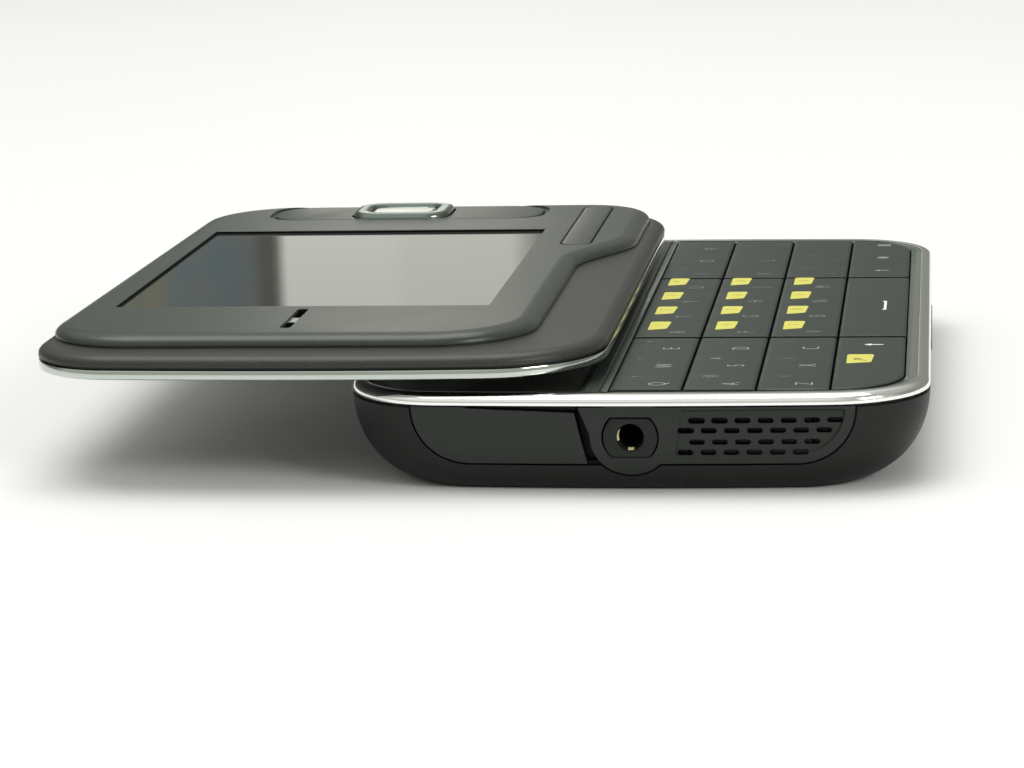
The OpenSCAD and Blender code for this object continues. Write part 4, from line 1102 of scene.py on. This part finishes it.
def row_x(row):
    """Middle of a key row."""
    return PAD_LEFT + (row + 0.5) * ROW_PITCH


def column_y(column):
    """Middle of a key column."""
    return -HALF_L + KEY_MARGIN_Y + (column + 0.5) * COLUMN_PITCH


def edge_drop(distance, width, depth):
    """Height lost on a quarter round at a distance from the edge."""
    if distance >= width:
        return 0.0
    share = 1 - distance / width
    return depth * (1 - math.sqrt(max(0.0, 1 - share * share)))


def key_top(name, row, first, count, sizes, ridges):
    """Key plate with round edges; where ridges is set, a low one stands between its letters."""
    width, depth = sizes.key_edge / MM, sizes.key_drop / MM
    ridge = sizes.ridge / MM
    x0 = PAD_LEFT + row * ROW_PITCH + KEY_GAP / 2
    y0 = -HALF_L + KEY_MARGIN_Y + first * COLUMN_PITCH + BLOCK_GAP / 2
    w, l = ROW_PITCH - KEY_GAP, count * COLUMN_PITCH - BLOCK_GAP
    edge = [width * share for share in ROUND_SHARES]
    xs = edge + [w - e for e in reversed(edge)]
    edge = [END_EDGE * share for share in ROUND_SHARES]
    ys = list(edge)
    lines = [i * COLUMN_PITCH - BLOCK_GAP / 2 for i in range(1, count)] if ridges else []
    for line in lines:
        ys += [line + offset for offset in (-1.3, -0.5, -0.28, -0.12, 0, 0.12, 0.28, 0.5, 1.3)]
    ys += [l - e for e in reversed(edge)]
    points = []
    for x in xs:
        for y in ys:
            drop_x = edge_drop(min(x, w - x), width, depth)
            drop_y = edge_drop(min(y, l - y), END_EDGE, END_DROP)
            rise = sum(math.exp(-((y - line) / 0.2) ** 2) for line in lines)
            groove = sum(math.exp(-((y - line) / 0.55) ** 2) for line in lines)
            height = KEY_TOP - min(depth, math.hypot(drop_x, drop_y)) - ridge * (groove - rise)
            points.append((x0 + x, y0 + y, height))
    rows, columns = len(xs), len(ys)
    corners = [i * columns + j for i in range(rows - 1) for j in range(columns - 1)]
    faces = [(a, a + columns, a + columns + 1, a + 1) for a in corners]
    rim = (list(range(columns)) + [i * columns + columns - 1 for i in range(1, rows)]
           + [(rows - 1) * columns + j for j in range(columns - 2, -1, -1)]
           + [i * columns for i in range(rows - 2, 0, -1)])
    base = len(points)
    points += [(points[i][0], points[i][1], KEY_LOW) for i in rim]
    n = len(rim)
    faces += [(rim[i], rim[(i + 1) % n], base + (i + 1) % n, base + i) for i in range(n)]
    faces.append(tuple(base + i for i in range(n)))
    key = new_object(name, points, faces)
    if first == 0 or first + count == COLUMNS:
        lid = []
        for share in ROUND_SHARES:
            inset = 0.12 + width * share
            lid.append(at(body_plan(KEY_MARGIN_X + inset, KEY_MARGIN_Y + inset),
                          KEY_TOP - edge_drop(width * share, width, depth) + 0.0005))
        # Below the housing's rim the plate draws in, clear of the wall
        for inset, z in ((0.12, HOUSING_H + 0.4), (0.95, HOUSING_H + 0.38), (0.95, KEY_LOW - 1)):
            lid.insert(0, at(body_plan(KEY_MARGIN_X + inset, KEY_MARGIN_Y + inset), z))
        combine(key, [loft("lid", lid)], "INTERSECT")
    return key


def text_piece(text, height, x, y, finish, rise):
    """Printed sign on a key: it reads along +Y, its top towards -X."""
    curve = bpy.data.curves.new("sign", "FONT")
    curve.body = text
    curve.size = height / 0.72
    curve.align_x = "CENTER"
    curve.align_y = "CENTER"
    curve.extrude = rise / 2
    curve.offset = LETTER_THINNING
    curve.resolution_u = 4
    made = bpy.data.objects.new("sign", curve)
    bpy.context.scene.collection.objects.link(made)
    bpy.context.view_layer.update()
    seen = made.evaluated_get(bpy.context.evaluated_depsgraph_get())
    mesh = bpy.data.meshes.new_from_object(seen)
    drop(made)
    mesh.transform(Matrix(((0, -1, 0, x), (LETTER_WIDTH, 0, 0, y), (0, 0, 1, KEY_TOP),
                           (0, 0, 0, 1))))
    sign = bpy.data.objects.new("sign", mesh)
    bpy.context.scene.collection.objects.link(sign)
    paint(sign, (finish,))
    return sign


def flat_mark(outline, x, y, finish, rise):
    """Printed shape on a key, its outline drawn in X and Y."""
    mark = prism("mark", moved(outline, x, y), KEY_TOP - 0.03, KEY_TOP + rise)
    paint(mark, (finish,))
    return mark


def badge_outline(w, l):
    """Badge with three round corners and one drawn out to a point."""
    x, y, r = w / 2, l / 2, 0.42
    return (arc(x - r, y - r, r, 0, 0.25, 5) + arc(-x + r, y - r, r, 0.25, 0.5, 5)
            + [(-x, -y), (-x + 0.25, -y + 0.02)] + arc(x - 0.2 - r, -y + 0.5 + r, r, 0.8, 1, 5))


def print_finish(column):
    """Finish of a column's signs: the nearest three columns are the brightest."""
    return "white" if column < 3 else "grey_print"


def key_marks(name, row, first, count, sizes):
    """Letters, signs and number badges of one key plate."""
    rise, letter = sizes.print_rise / MM, sizes.letter / MM
    marks = []
    for column in range(first, first + count):
        x, y = row_x(row), column_y(column)
        if row < 3 and column < len(LETTERS[row]):
            marks.append(text_piece(LETTERS[row][column], letter, x + LETTER_AT[0],
                                    y + LETTER_AT[1], print_finish(column), 2 * rise))
        if row < 3 and 3 <= column < 7:
            sx, sy = x + SIGN_AT[0], y + SIGN_AT[1]
            marks.append(flat_mark(badge_outline(*BADGE_SIZE), sx, sy, "badge", rise))
            marks.append(text_piece(NUMBERS[row][column - 3], 1.3, sx, sy + 0.3, "dark_print",
                                    4 * rise))
        elif row < 3:
            signs = SIGNS[row] if column < 3 else FAR_SIGNS[row]
            place = column if column < 3 else column - 7
            if place < len(signs):
                marks.append(text_piece(signs[place], 1.25, x + SIGN_AT[0], y + SIGN_AT[1],
                                        print_finish(column), 2 * rise))
    if name == "shift_key":
        x, y = row_x(3) - 1.0, column_y(1) + 1.7
        marks.append(flat_mark(badge_outline(*SHIFT_BADGE_SIZE), x, y, "badge", rise))
        arrow = [(-0.65, 0.5), (-0.65, -0.9), (-0.3, -0.5), (0.55, -1.1), (0.7, -0.9), (-0.1, -0.2),
                 (0.15, 0.3)]
        marks.append(flat_mark(arrow, x, y, "dark_print", 2 * rise))
        arrow = [(-1.0, 0), (-0.25, -0.5), (-0.25, -0.14), (1.0, -0.14), (1.0, 0.14),
                 (-0.25, 0.14), (-0.25, 0.5)]
        marks.append(flat_mark(arrow, row_x(3) + 0.2, column_y(2) + 0.1, "bright_print", rise))
    if name == "space_key":
        bracket = [(-0.3, -2.7), (0.14, -2.7), (0.14, 2.7), (-0.3, 2.7), (-0.3, 2.3), (-0.14, 2.3),
                   (-0.14, -2.3), (-0.3, -2.3)]
        marks.append(flat_mark(bracket, row_x(3) + 1.05, 0, "bright_print", rise))
    if name == "symbol_keys":
        for column, outline in ((7, [(-0.9, 0), (-0.2, -0.6), (-0.2, -0.2), (0.8, -0.2), (0.8, 0.2),
                                     (-0.2, 0.2), (-0.2, 0.6)]),
                                (8, disc(0, 0, 0.7, 24)), (9, rounded(1.6, 1.2, 0.2))):
            marks.append(flat_mark(outline, row_x(3) + 0.3, column_y(column), "grey_print", rise))
    return marks


def make_keypad(sizes):
    """Make the key plates and their print."""
    # Painted shade: the key plates' side walls in the gaps between them get the near-black finish
    def dark_wall(polygon):
        inner = abs(polygon.center.y) < HALF_L - KEY_MARGIN_Y - 1
        return int(polygon.normal.z < 0.4 and inner)

    for name, row, first, count in KEY_BLOCKS:
        key = key_top(name + "_plate", row, first, count, sizes, name != "space_key")
        paint(key, ("keys", "wall"), dark_wall)
        made = joined(name + "_piece", [key] + key_marks(name, row, first, count, sizes))
        keep(made, name + "_body", "keys", [name], sharp=28)


# ---- Upper half ----

def make_cover(sizes):
    """Make the dark cover of the upper half."""
    profile = [(0.5, 0), (0.5, 0.18), (0.1, 0.22), (0, 0.3), (0, 0.5)]
    profile += round_over(1.35, 0.5, COVER_TOP - STRIP_TOP, 9)
    cover = loft("upper_cover", [upper(slider_plan(d), STRIP_TOP + z) for d, z in profile])
    pocket = loft("pocket", [upper(face_outline(-0.06), POCKET_Z), upper(face_outline(-0.06), 30)])
    hollow = loft("hollow", [upper(slider_plan(2), z) for z in (STRIP_TOP - 1, POCKET_Z - 0.3)])
    window = block("window", (WINDOW_LOW.x - 1, WINDOW_LOW.y - 1, 0),
                   (WINDOW_HIGH.x + 1, WINDOW_HIGH.y + 1, 30))
    speaker = prism("speaker", moved(rounded(7, 12.5, 2), EAR.x, EAR.y), 0, 30)
    keys = block("keys", (SLIDER_X - 20.5, WINDOW_HIGH.y + 4, 0),
                 (SLIDER_X + FACE_WIDE - 4, FACE_FAR - 1.5, 30))
    menu = block("menu", (MENU.x - 1.4, MENU.y - MENU_L / 2 + 1, 0),
                 (MENU.x + 1.4, MENU.y + MENU_L / 2 - 1, 30))
    combine(cover, [pocket, hollow, window, speaker, keys, menu])
    keep(cover, "slider", "cover", ["slider_cover"])
    weighted(cover)


def face_outline(d, steps=14):
    """Raised face plate, moved in by d: it steps out beside the keys."""
    x0, x1 = FACE_LEFT + d, FACE_LEFT + 0.7 + d
    y0, y1 = FACE_NEAR + d, FACE_FAR - d
    narrow, wide = FACE_NARROW - d, FACE_WIDE - d
    radii = [r - d for r in FACE_RADII]
    step = []
    for i in range(2 * steps + 1):
        share = i / (2 * steps)
        step.append((narrow + (wide - narrow) * (1 - math.cos(math.pi * share)) / 2,
                     STEP_NEAR + (STEP_FAR - STEP_NEAR) * share))
    return (arc(x0 + radii[0], y0 + radii[0], radii[0], 0.5, 0.75, steps)
            + arc(narrow - radii[1], y0 + radii[1], radii[1], 0.75, 1, steps) + step
            + arc(wide - radii[2], y1 - radii[2], radii[2], 0, 0.25, steps)
            + arc(x1 + radii[3], y1 - radii[3], radii[3], 0.25, 0.5, steps))


def cluster(d):
    """Well that holds the navigation key and its neighbours."""
    w, l, r = WELL
    return moved(rounded(w - d, l - d, r), NAVI.x + 0.7, NAVI.y)


def pit(name, size, middle, edge):
    """Cutter of a width, length and corner about a middle, wider by edge at the face's top."""
    w, l, r = size
    return loft(name, [at(moved(rounded(w + 2 * d, l + 2 * d, r + d), *middle), z)
                       for d, z in ((0, 0), (0, FACE_TOP - edge), (edge, FACE_TOP), (edge, 30))])


def make_face(sizes):
    """Make the raised face plate."""
    foot = COVER_TOP + 0.2
    profile = [(0, POCKET_Z), (0.02, COVER_TOP - 0.05), (0.1, COVER_TOP), (0.1, COVER_TOP + 0.12),
               (0, foot)]
    profile += round_over(1.9, foot, FACE_TOP, 10)
    face = loft("face", [upper(face_outline(d), z) for d, z in profile])
    middle = (WINDOW_LOW + WINDOW_HIGH) / 2
    window = pit("window", (*(WINDOW_HIGH - WINDOW_LOW).xy, 0.35), middle.xy, 0.07)
    slots = [pit("ear_slot", EAR_SLOT, (EAR.x, EAR.y + EAR_SLOT_OFF * side), 0.08)
             for side in (-1, 1)]
    well = loft("well", [at(cluster(d), z) for d, z in (
        (0.3, WELL_Z), (0, WELL_Z + 0.12), (0, FACE_TOP - 0.08), (-0.16, FACE_TOP), (-0.16, 30))])
    opening = prism("opening", cluster(0.9), 0, 30)
    menu = pit("menu_hole", (MENU_W + 0.3, MENU_L + 0.3, 1.4), MENU.xy, 0.1)
    bridge = prism("bridge", moved(rounded(*BRIDGE), EAR.x, EAR.y), BRIDGE_Z, 30)
    combine(face, [window, *slots, bridge, well, opening, menu])
    reach = (WINDOW_HIGH - WINDOW_LOW) / 2 + Vector((0.05, 0.05, 0))

    # Painted shade: the walls of the display's window and of the earpiece slots get the near-black
    # finish
    def part_of_face(polygon):
        off, from_ear = polygon.center - middle, polygon.center - EAR
        inside = abs(off.x) < reach.x and abs(off.y) < reach.y
        in_slot = from_ear.xy.length < 6 and polygon.center.z < FACE_TOP - 0.3
        on_bridge = abs(polygon.center.z - BRIDGE_Z) < 0.01 and from_ear.length < 9
        return 2 if on_bridge else int(abs(polygon.normal.z) < 0.5 and (inside or in_slot))

    paint(face, ("face", "wall", "band"), part_of_face)
    keep(face, "slider", "face", ["face_plate"])
    weighted(face)


def make_display(sizes):
    """Make the display's window."""
    w = WINDOW_HIGH.x - WINDOW_LOW.x - 0.06
    l = WINDOW_HIGH.y - WINDOW_LOW.y - 0.06
    middle = (WINDOW_LOW + WINDOW_HIGH) / 2
    top = max(GLASS_TOP, FACE_TOP - 0.32)
    pane = loft("display_pane", [
        at(moved(rounded(w - 2 * d, l - 2 * d, 0.33), middle.x, middle.y), z)
        for d, z in ((0, POCKET_Z), (0, top - 0.03), (0.03, top))])
    keep(pane, "slider", "glass", ["display_window"])


def flat_key(outline, base, top, edge=0.22):
    """Rings of a flush key with a round edge, from an outline function of the inset."""
    rings = [at(outline(0), base), at(outline(0), top - 0.12)]
    for share in (0.3, 0.6, 1):
        a = turn(0.25 * share)
        rings.append(at(outline(edge * (1 - math.cos(a))), top - 0.12 + 0.12 * math.sin(a)))
    return rings


def make_navigation(sizes):
    """Make the keys of the upper half."""
    base = low("navi_ring").z
    top = high("navi_ring").z

    def ring_outline(d):
        return moved(rounded(NAVI_W - 2 * d, NAVI_L - 2 * d, max(0.3, 3 - d), 12), *NAVI.xy)

    select_w, select_l = (high("select_key") - low("select_key")).xy

    def select_outline(d):
        r = max(0.2, 1.6 - d)
        return moved(rounded(select_w - 2 * d, select_l - 2 * d, r, 12), *NAVI.xy)

    profile = [(0, base), (0, FACE_TOP + 0.05), (0.05, FACE_TOP + 0.22), (0.2, top - 0.1),
               (0.45, top - 0.015), (0.75, top)]
    rings = [at(ring_outline(d), z) for d, z in profile]
    inner = [(-0.55, top - 0.02), (-0.3, top - 0.12), (-0.15, top - 0.35), (-0.15, base)]
    rings += [at(select_outline(d), z) for d, z in inner]
    ring = loft("navigation_ring", rings, hollow=True)
    keep(ring, "navi_ring_body", "ring", ["navi_ring"])
    select = loft("select_button", flat_key(select_outline, base, high("select_key").z, 0.4))
    keep(select, "select_key_body", "silver", ["select_key"])

    for name, side in (("call_key", -1), ("end_key", 1)):
        key = loft(name + "_piece", flat_key(lambda d: cluster(1.2 + 2 * d), base, high(name).z))
        x0, x1 = sorted((NAVI.x + side * 3, NAVI.x + side * 40))
        combine(key, [block("side", (x0, NAVI.y - 20, 0), (x1, NAVI.y + 20, 30))], "INTERSECT")
        combine(key, [prism("ring_room", ring_outline(-0.22), 0, 30)])
        keep(key, name + "_body", "face", [name])

    def menu_outline(d):
        return moved(rounded(MENU_W - 2 * d, MENU_L - 2 * d, max(0.2, 1.3 - d)), *MENU.xy)

    menu = loft("long_key", flat_key(menu_outline, base, high("menu_key").z, 0.3))
    keep(menu, "menu_key_body", "face", ["menu_key"])


# ---- Screws and inner pieces ----

def screw_shape(head_r, head_h, length):
    """Screw that stands on its head."""
    screw = loft("screw", [at(disc(0, 0, r, 24), z) for r, z in (
        (head_r * 0.94, 0), (head_r, 0.08), (head_r, head_h), (SHANK_R, head_h),
        (SHANK_R, length - 0.2), (SHANK_R - 0.2, length))])
    star = [(r * math.cos(turn(i / 12)), r * math.sin(turn(i / 12)))
            for i, r in enumerate([head_r * 0.55, head_r * 0.34] * 6)]
    return combine(screw, [prism("star", star, -head_h * 0.6, head_h * 0.6)])


def screw_pair(shape, x0, x1, y, z, finish):
    """Two screws of a shape, side by side."""
    pair = row_of("pair", shape, 2, (x0, y, z), (x1 - x0, 0, 0), finish)
    drop(shape)
    return pair


def make_screws(sizes):
    """Make the screws of both halves."""
    near, far = ends("housing_screws")
    made = joined("case_screws", [
        screw_pair(screw_shape(CASE_SCREW_R, 0.8, 4.6), -x, x, y, near.z, "steel")
        for x, y in zip(SCREW_COLUMNS, (near.y + CASE_SCREW_R, far.y - CASE_SCREW_R))])
    keep(made, "base", "steel", ["housing_screws"])
    near, far = ends("slider_screws")
    made = joined("back_screws", [
        screw_pair(screw_shape(BACK_SCREW_R, 0.35, 1.4), near.x + BACK_SCREW_R,
                   far.x - BACK_SCREW_R, y, near.z, "inner")
        for y in (near.y + BACK_SCREW_R, far.y - BACK_SCREW_R)])
    keep(made, "slider", "steel", ["slider_screws"])


def make_cable(sizes):
    """Make the flat cable: its loop stays below, its end goes along with the upper half."""
    near, far = ends("slide_flex")
    plate_low = low("moving_slide_plate").z
    upper_z = plate_low - CABLE_RISE
    end_x = CABLE_END_X + CABLE_T
    r = (upper_z + CABLE_T - CABLE_LOW) / 2
    inner, outer = (arc(near.x + r, CABLE_LOW + r, radius, 0.25, 0.75, 12)
                    for radius in (r - CABLE_T, r))
    outline = ([(far.x, near.z), (far.x, CABLE_LOW + CABLE_T)] + inner[::-1]
               + [(end_x, upper_z), (end_x, upper_z + CABLE_T)] + outer
               + [(far.x - CABLE_T, CABLE_LOW), (far.x - CABLE_T, near.z)])
    loop = prism_y("flat_cable", outline, near.y, far.y)
    keep(loop, "base", "flex", ["slide_flex"])
    end = block("flat_cable_end", (CABLE_END_X, near.y, plate_low), (end_x, far.y, far.z))
    keep(end, "slider", "flex")


INNER_FINISHES = {
    "steel": ("usb_socket", "sim_holder", "card_slot", "shield_cans", "vibration_motor",
              "microphone", "loudspeaker", "earpiece", "fixed_slide_plate", "moving_slide_plate",
              "slide_springs"),
    "gold": ("jack_contacts", "battery_contacts"),
    "mesh": ("speaker_mesh", "earpiece_mesh"),
    "board": ("main_board", "slider_board"),
    "film": ("dome_sheet",),
    "mat": ("key_mat",),
    "wrap": ("battery",),
    "copper": ("antenna",),
    "lens": ("camera_module", "display_module"),
    "inner": ("battery_frame", "slider_back"),
}


def paint_inner_pieces():
    """Finishes of the frame's own pieces."""
    for finish, names in INNER_FINISHES.items():
        for name in names:
            for place in NODES[name].material_slots:
                place.material = FINISHES[finish]


# ---- Stage ----

def make_camera():
    """Camera where the photograph's stood."""
    level = Vector((-math.sin(CAMERA_TURN), math.cos(CAMERA_TURN), 0))
    forward = level * math.cos(CAMERA_DOWN) - Vector((0, 0, math.sin(CAMERA_DOWN)))
    side = Vector((math.cos(CAMERA_TURN), math.sin(CAMERA_TURN), 0))
    top = side.cross(forward)
    right = math.cos(CAMERA_ROLL) * side + math.sin(CAMERA_ROLL) * top
    up = math.cos(CAMERA_ROLL) * top - math.sin(CAMERA_ROLL) * side
    data = bpy.data.cameras.new("camera")
    data.lens = CAMERA_LENS
    data.sensor_width = 36
    data.clip_start = 0.01
    data.clip_end = 50
    camera = bpy.data.objects.new("camera", data)
    turned = Matrix((right, up, -forward)).transposed().to_4x4()
    camera.matrix_world = Matrix.Translation(Vector(CAMERA_AT) * MM) @ turned
    bpy.context.scene.collection.objects.link(camera)
    bpy.context.scene.camera = camera


def area_light(name, place, target, size, power):
    """Soft lamp that looks at a target."""
    data = bpy.data.lights.new(name, "AREA")
    data.shape = "RECTANGLE"
    data.size, data.size_y = size
    data.energy = power
    light = bpy.data.objects.new(name, data)
    light.location = place
    light.rotation_euler = (Vector(target) - Vector(place)).to_track_quat("-Z", "Y").to_euler()
    bpy.context.scene.collection.objects.link(light)


# Brightness of the room's wall behind the phone: place from left to right, level
WALL_LEVELS = ((0.15, 0.23), (0.23, 0.19), (0.239, 0.11), (0.249, 0.11), (0.258, 1.1), (0.337, 1.1),
               (0.352, 1.03), (0.43, 1.02), (0.455, 0.3), (0.8, 0.26))


def make_world():
    """Room as the gloss sees it: a bright wall behind, dimmer stretches to both sides of it."""
    world = bpy.data.worlds.new("studio")
    world.use_nodes = True
    room = Nodes(world.node_tree)
    direction = room.node("ShaderNodeTexCoord", output="Generated")
    parts = room.node("ShaderNodeSeparateXYZ", None, {"Vector": direction}).socket.node
    x, y, z = (Value(room, parts.outputs[axis]) for axis in "XYZ")
    behind = room.node("ShaderNodeMath", {"operation": "MAXIMUM"}, {0: y, 1: 0.05})
    across = room.node("ShaderNodeMath", {"operation": "DIVIDE"}, {0: x, 1: behind})
    wall = room.node("ShaderNodeValToRGB", None, {"Fac": (across + 0.3) * 2.5}).socket.node
    stops = wall.color_ramp.elements
    for place, level in WALL_LEVELS[1:-1]:
        stops.new(place)
    for stop, (place, level) in zip(stops, WALL_LEVELS):
        stop.position = place
        stop.color = (level * 0.985, level, level * 0.9, 1)
    patches = room.node("ShaderNodeTexNoise", None,
                        {"Vector": direction, "Scale": 55.0, "Detail": 1.0})
    dim = room.blend(room.ramp(patches, 0.35, 0.65), (0.75, 0.98, 1.2), (1.12, 1.08, 0.85))
    tint = room.blend(room.ramp(across, -0.215, -0.2), dim, (1, 1, 1))
    low_room = room.node("ShaderNodeMix", {"data_type": "RGBA", "blend_type": "MULTIPLY"},
                         {"Factor": 1.0, 6: Value(room, wall.outputs["Color"]), 7: tint}, 2)
    roof = room.blend(room.ramp(x, -0.1, 0.55), (0.82, 0.82, 0.8), (0.44, 0.45, 0.42))
    ceiling = room.blend(room.ramp(z, 0.35, 0.7), low_room, roof)
    facing = room.blend(room.ramp(z, 0.22, 0.5), (0.52, 0.52, 0.46), roof)
    front = room.blend(room.ramp(y, 0.1, -0.3), ceiling, facing)
    room.tree.links.new(front.socket, room.tree.nodes["Background"].inputs["Color"])
    bpy.context.scene.world = world


def make_stage():
    """Camera, room, lamps and table."""
    bpy.context.scene.view_settings.view_transform = "Standard"
    make_camera()
    make_world()
    area_light("overhead", (-0.12, 0.16, 1.1), (-0.02, 0, 0), (1.0, 0.8), 10.0)
    area_light("side", (0.9, -0.7, 0.6), (0, 0, 0), (0.5, 0.4), 6)
    floor = loft("floor", [at(disc(0, 0, 6000, 96), z) for z in (-40, -0.01)])
    floor.data.transform(Matrix.Scale(MM, 4))
    finish = Finish("table_white", specular_ior_level=0.3)
    tone = finish.noise(180, 2)
    finish.set("Base Color", finish.blend(tone, (0.75, 0.75, 0.74), (0.77, 0.77, 0.76)))
    finish.set("Roughness", 0.5 + 0.1 * tone)
    floor.data.materials.append(finish.material)


# ---- Operators, panel and registration ----

def operator(label, work):
    """Operator class that runs a making function and is named and described after it."""
    def execute(self, context):
        work(context.scene.phone_sizes)
        return {"FINISHED"}

    word = work.__name__.removeprefix("make_")
    return type("PHONE_OT_" + word, (bpy.types.Operator,), {
        "bl_idname": "phone." + word, "bl_label": label, "__doc__": work.__doc__.rstrip("."),
        "execute": execute})


class PHONE_OT_stage(bpy.types.Operator):
    """Make the finishes, the table, the lights and the camera"""

    bl_idname = "phone.stage"
    bl_label = "Stage and finishes"

    def execute(self, context):
        make_finishes(context.scene.phone_colours)
        make_stage()
        return {"FINISHED"}


class PHONE_OT_inner(bpy.types.Operator):
    """Give the inner pieces their finishes"""

    bl_idname = "phone.inner"
    bl_label = "Inner pieces"

    def execute(self, context):
        paint_inner_pieces()
        return {"FINISHED"}


MAKERS = (
    operator("Lower housing", make_housing),
    operator("Rear cover", make_rear_cover),
    operator("Polished trims", make_trims),
    operator("Key bezel", make_bezel),
    operator("Near end", make_near_end),
    operator("Side keys", make_side_keys),
    operator("Keypad", make_keypad),
    operator("Upper cover", make_cover),
    operator("Face plate", make_face),
    operator("Display", make_display),
    operator("Navigation keys", make_navigation),
    operator("Screws", make_screws),
    operator("Flat cable", make_cable),
)


class PHONE_PT_panel(bpy.types.Panel):
    """Sizes, colours and makers of the phone"""

    bl_label = "Slider phone"
    bl_space_type = "VIEW_3D"
    bl_region_type = "UI"
    bl_category = "Phone"

    def draw(self, context):
        for group in (context.scene.phone_sizes, context.scene.phone_colours):
            for name in group.__annotations__:
                self.layout.prop(group, name)
        for maker in (PHONE_OT_stage, *MAKERS, PHONE_OT_inner):
            self.layout.operator(maker.bl_idname)


CLASSES = (PhoneSizes, PhoneColours, PHONE_OT_stage, *MAKERS, PHONE_OT_inner, PHONE_PT_panel)


def register():
    for item in CLASSES:
        bpy.utils.register_class(item)
    bpy.types.Scene.phone_sizes = PointerProperty(type=PhoneSizes)
    bpy.types.Scene.phone_colours = PointerProperty(type=PhoneColours)


def unregister():
    del bpy.types.Scene.phone_colours
    del bpy.types.Scene.phone_sizes
    for item in reversed(CLASSES):
        bpy.utils.unregister_class(item)


def main():
    register()
    bpy.ops.phone.stage()
    for maker in MAKERS:
        getattr(bpy.ops.phone, maker.bl_idname.split(".")[1])()
    bpy.ops.phone.inner()


if __name__ == "__main__":
    main()
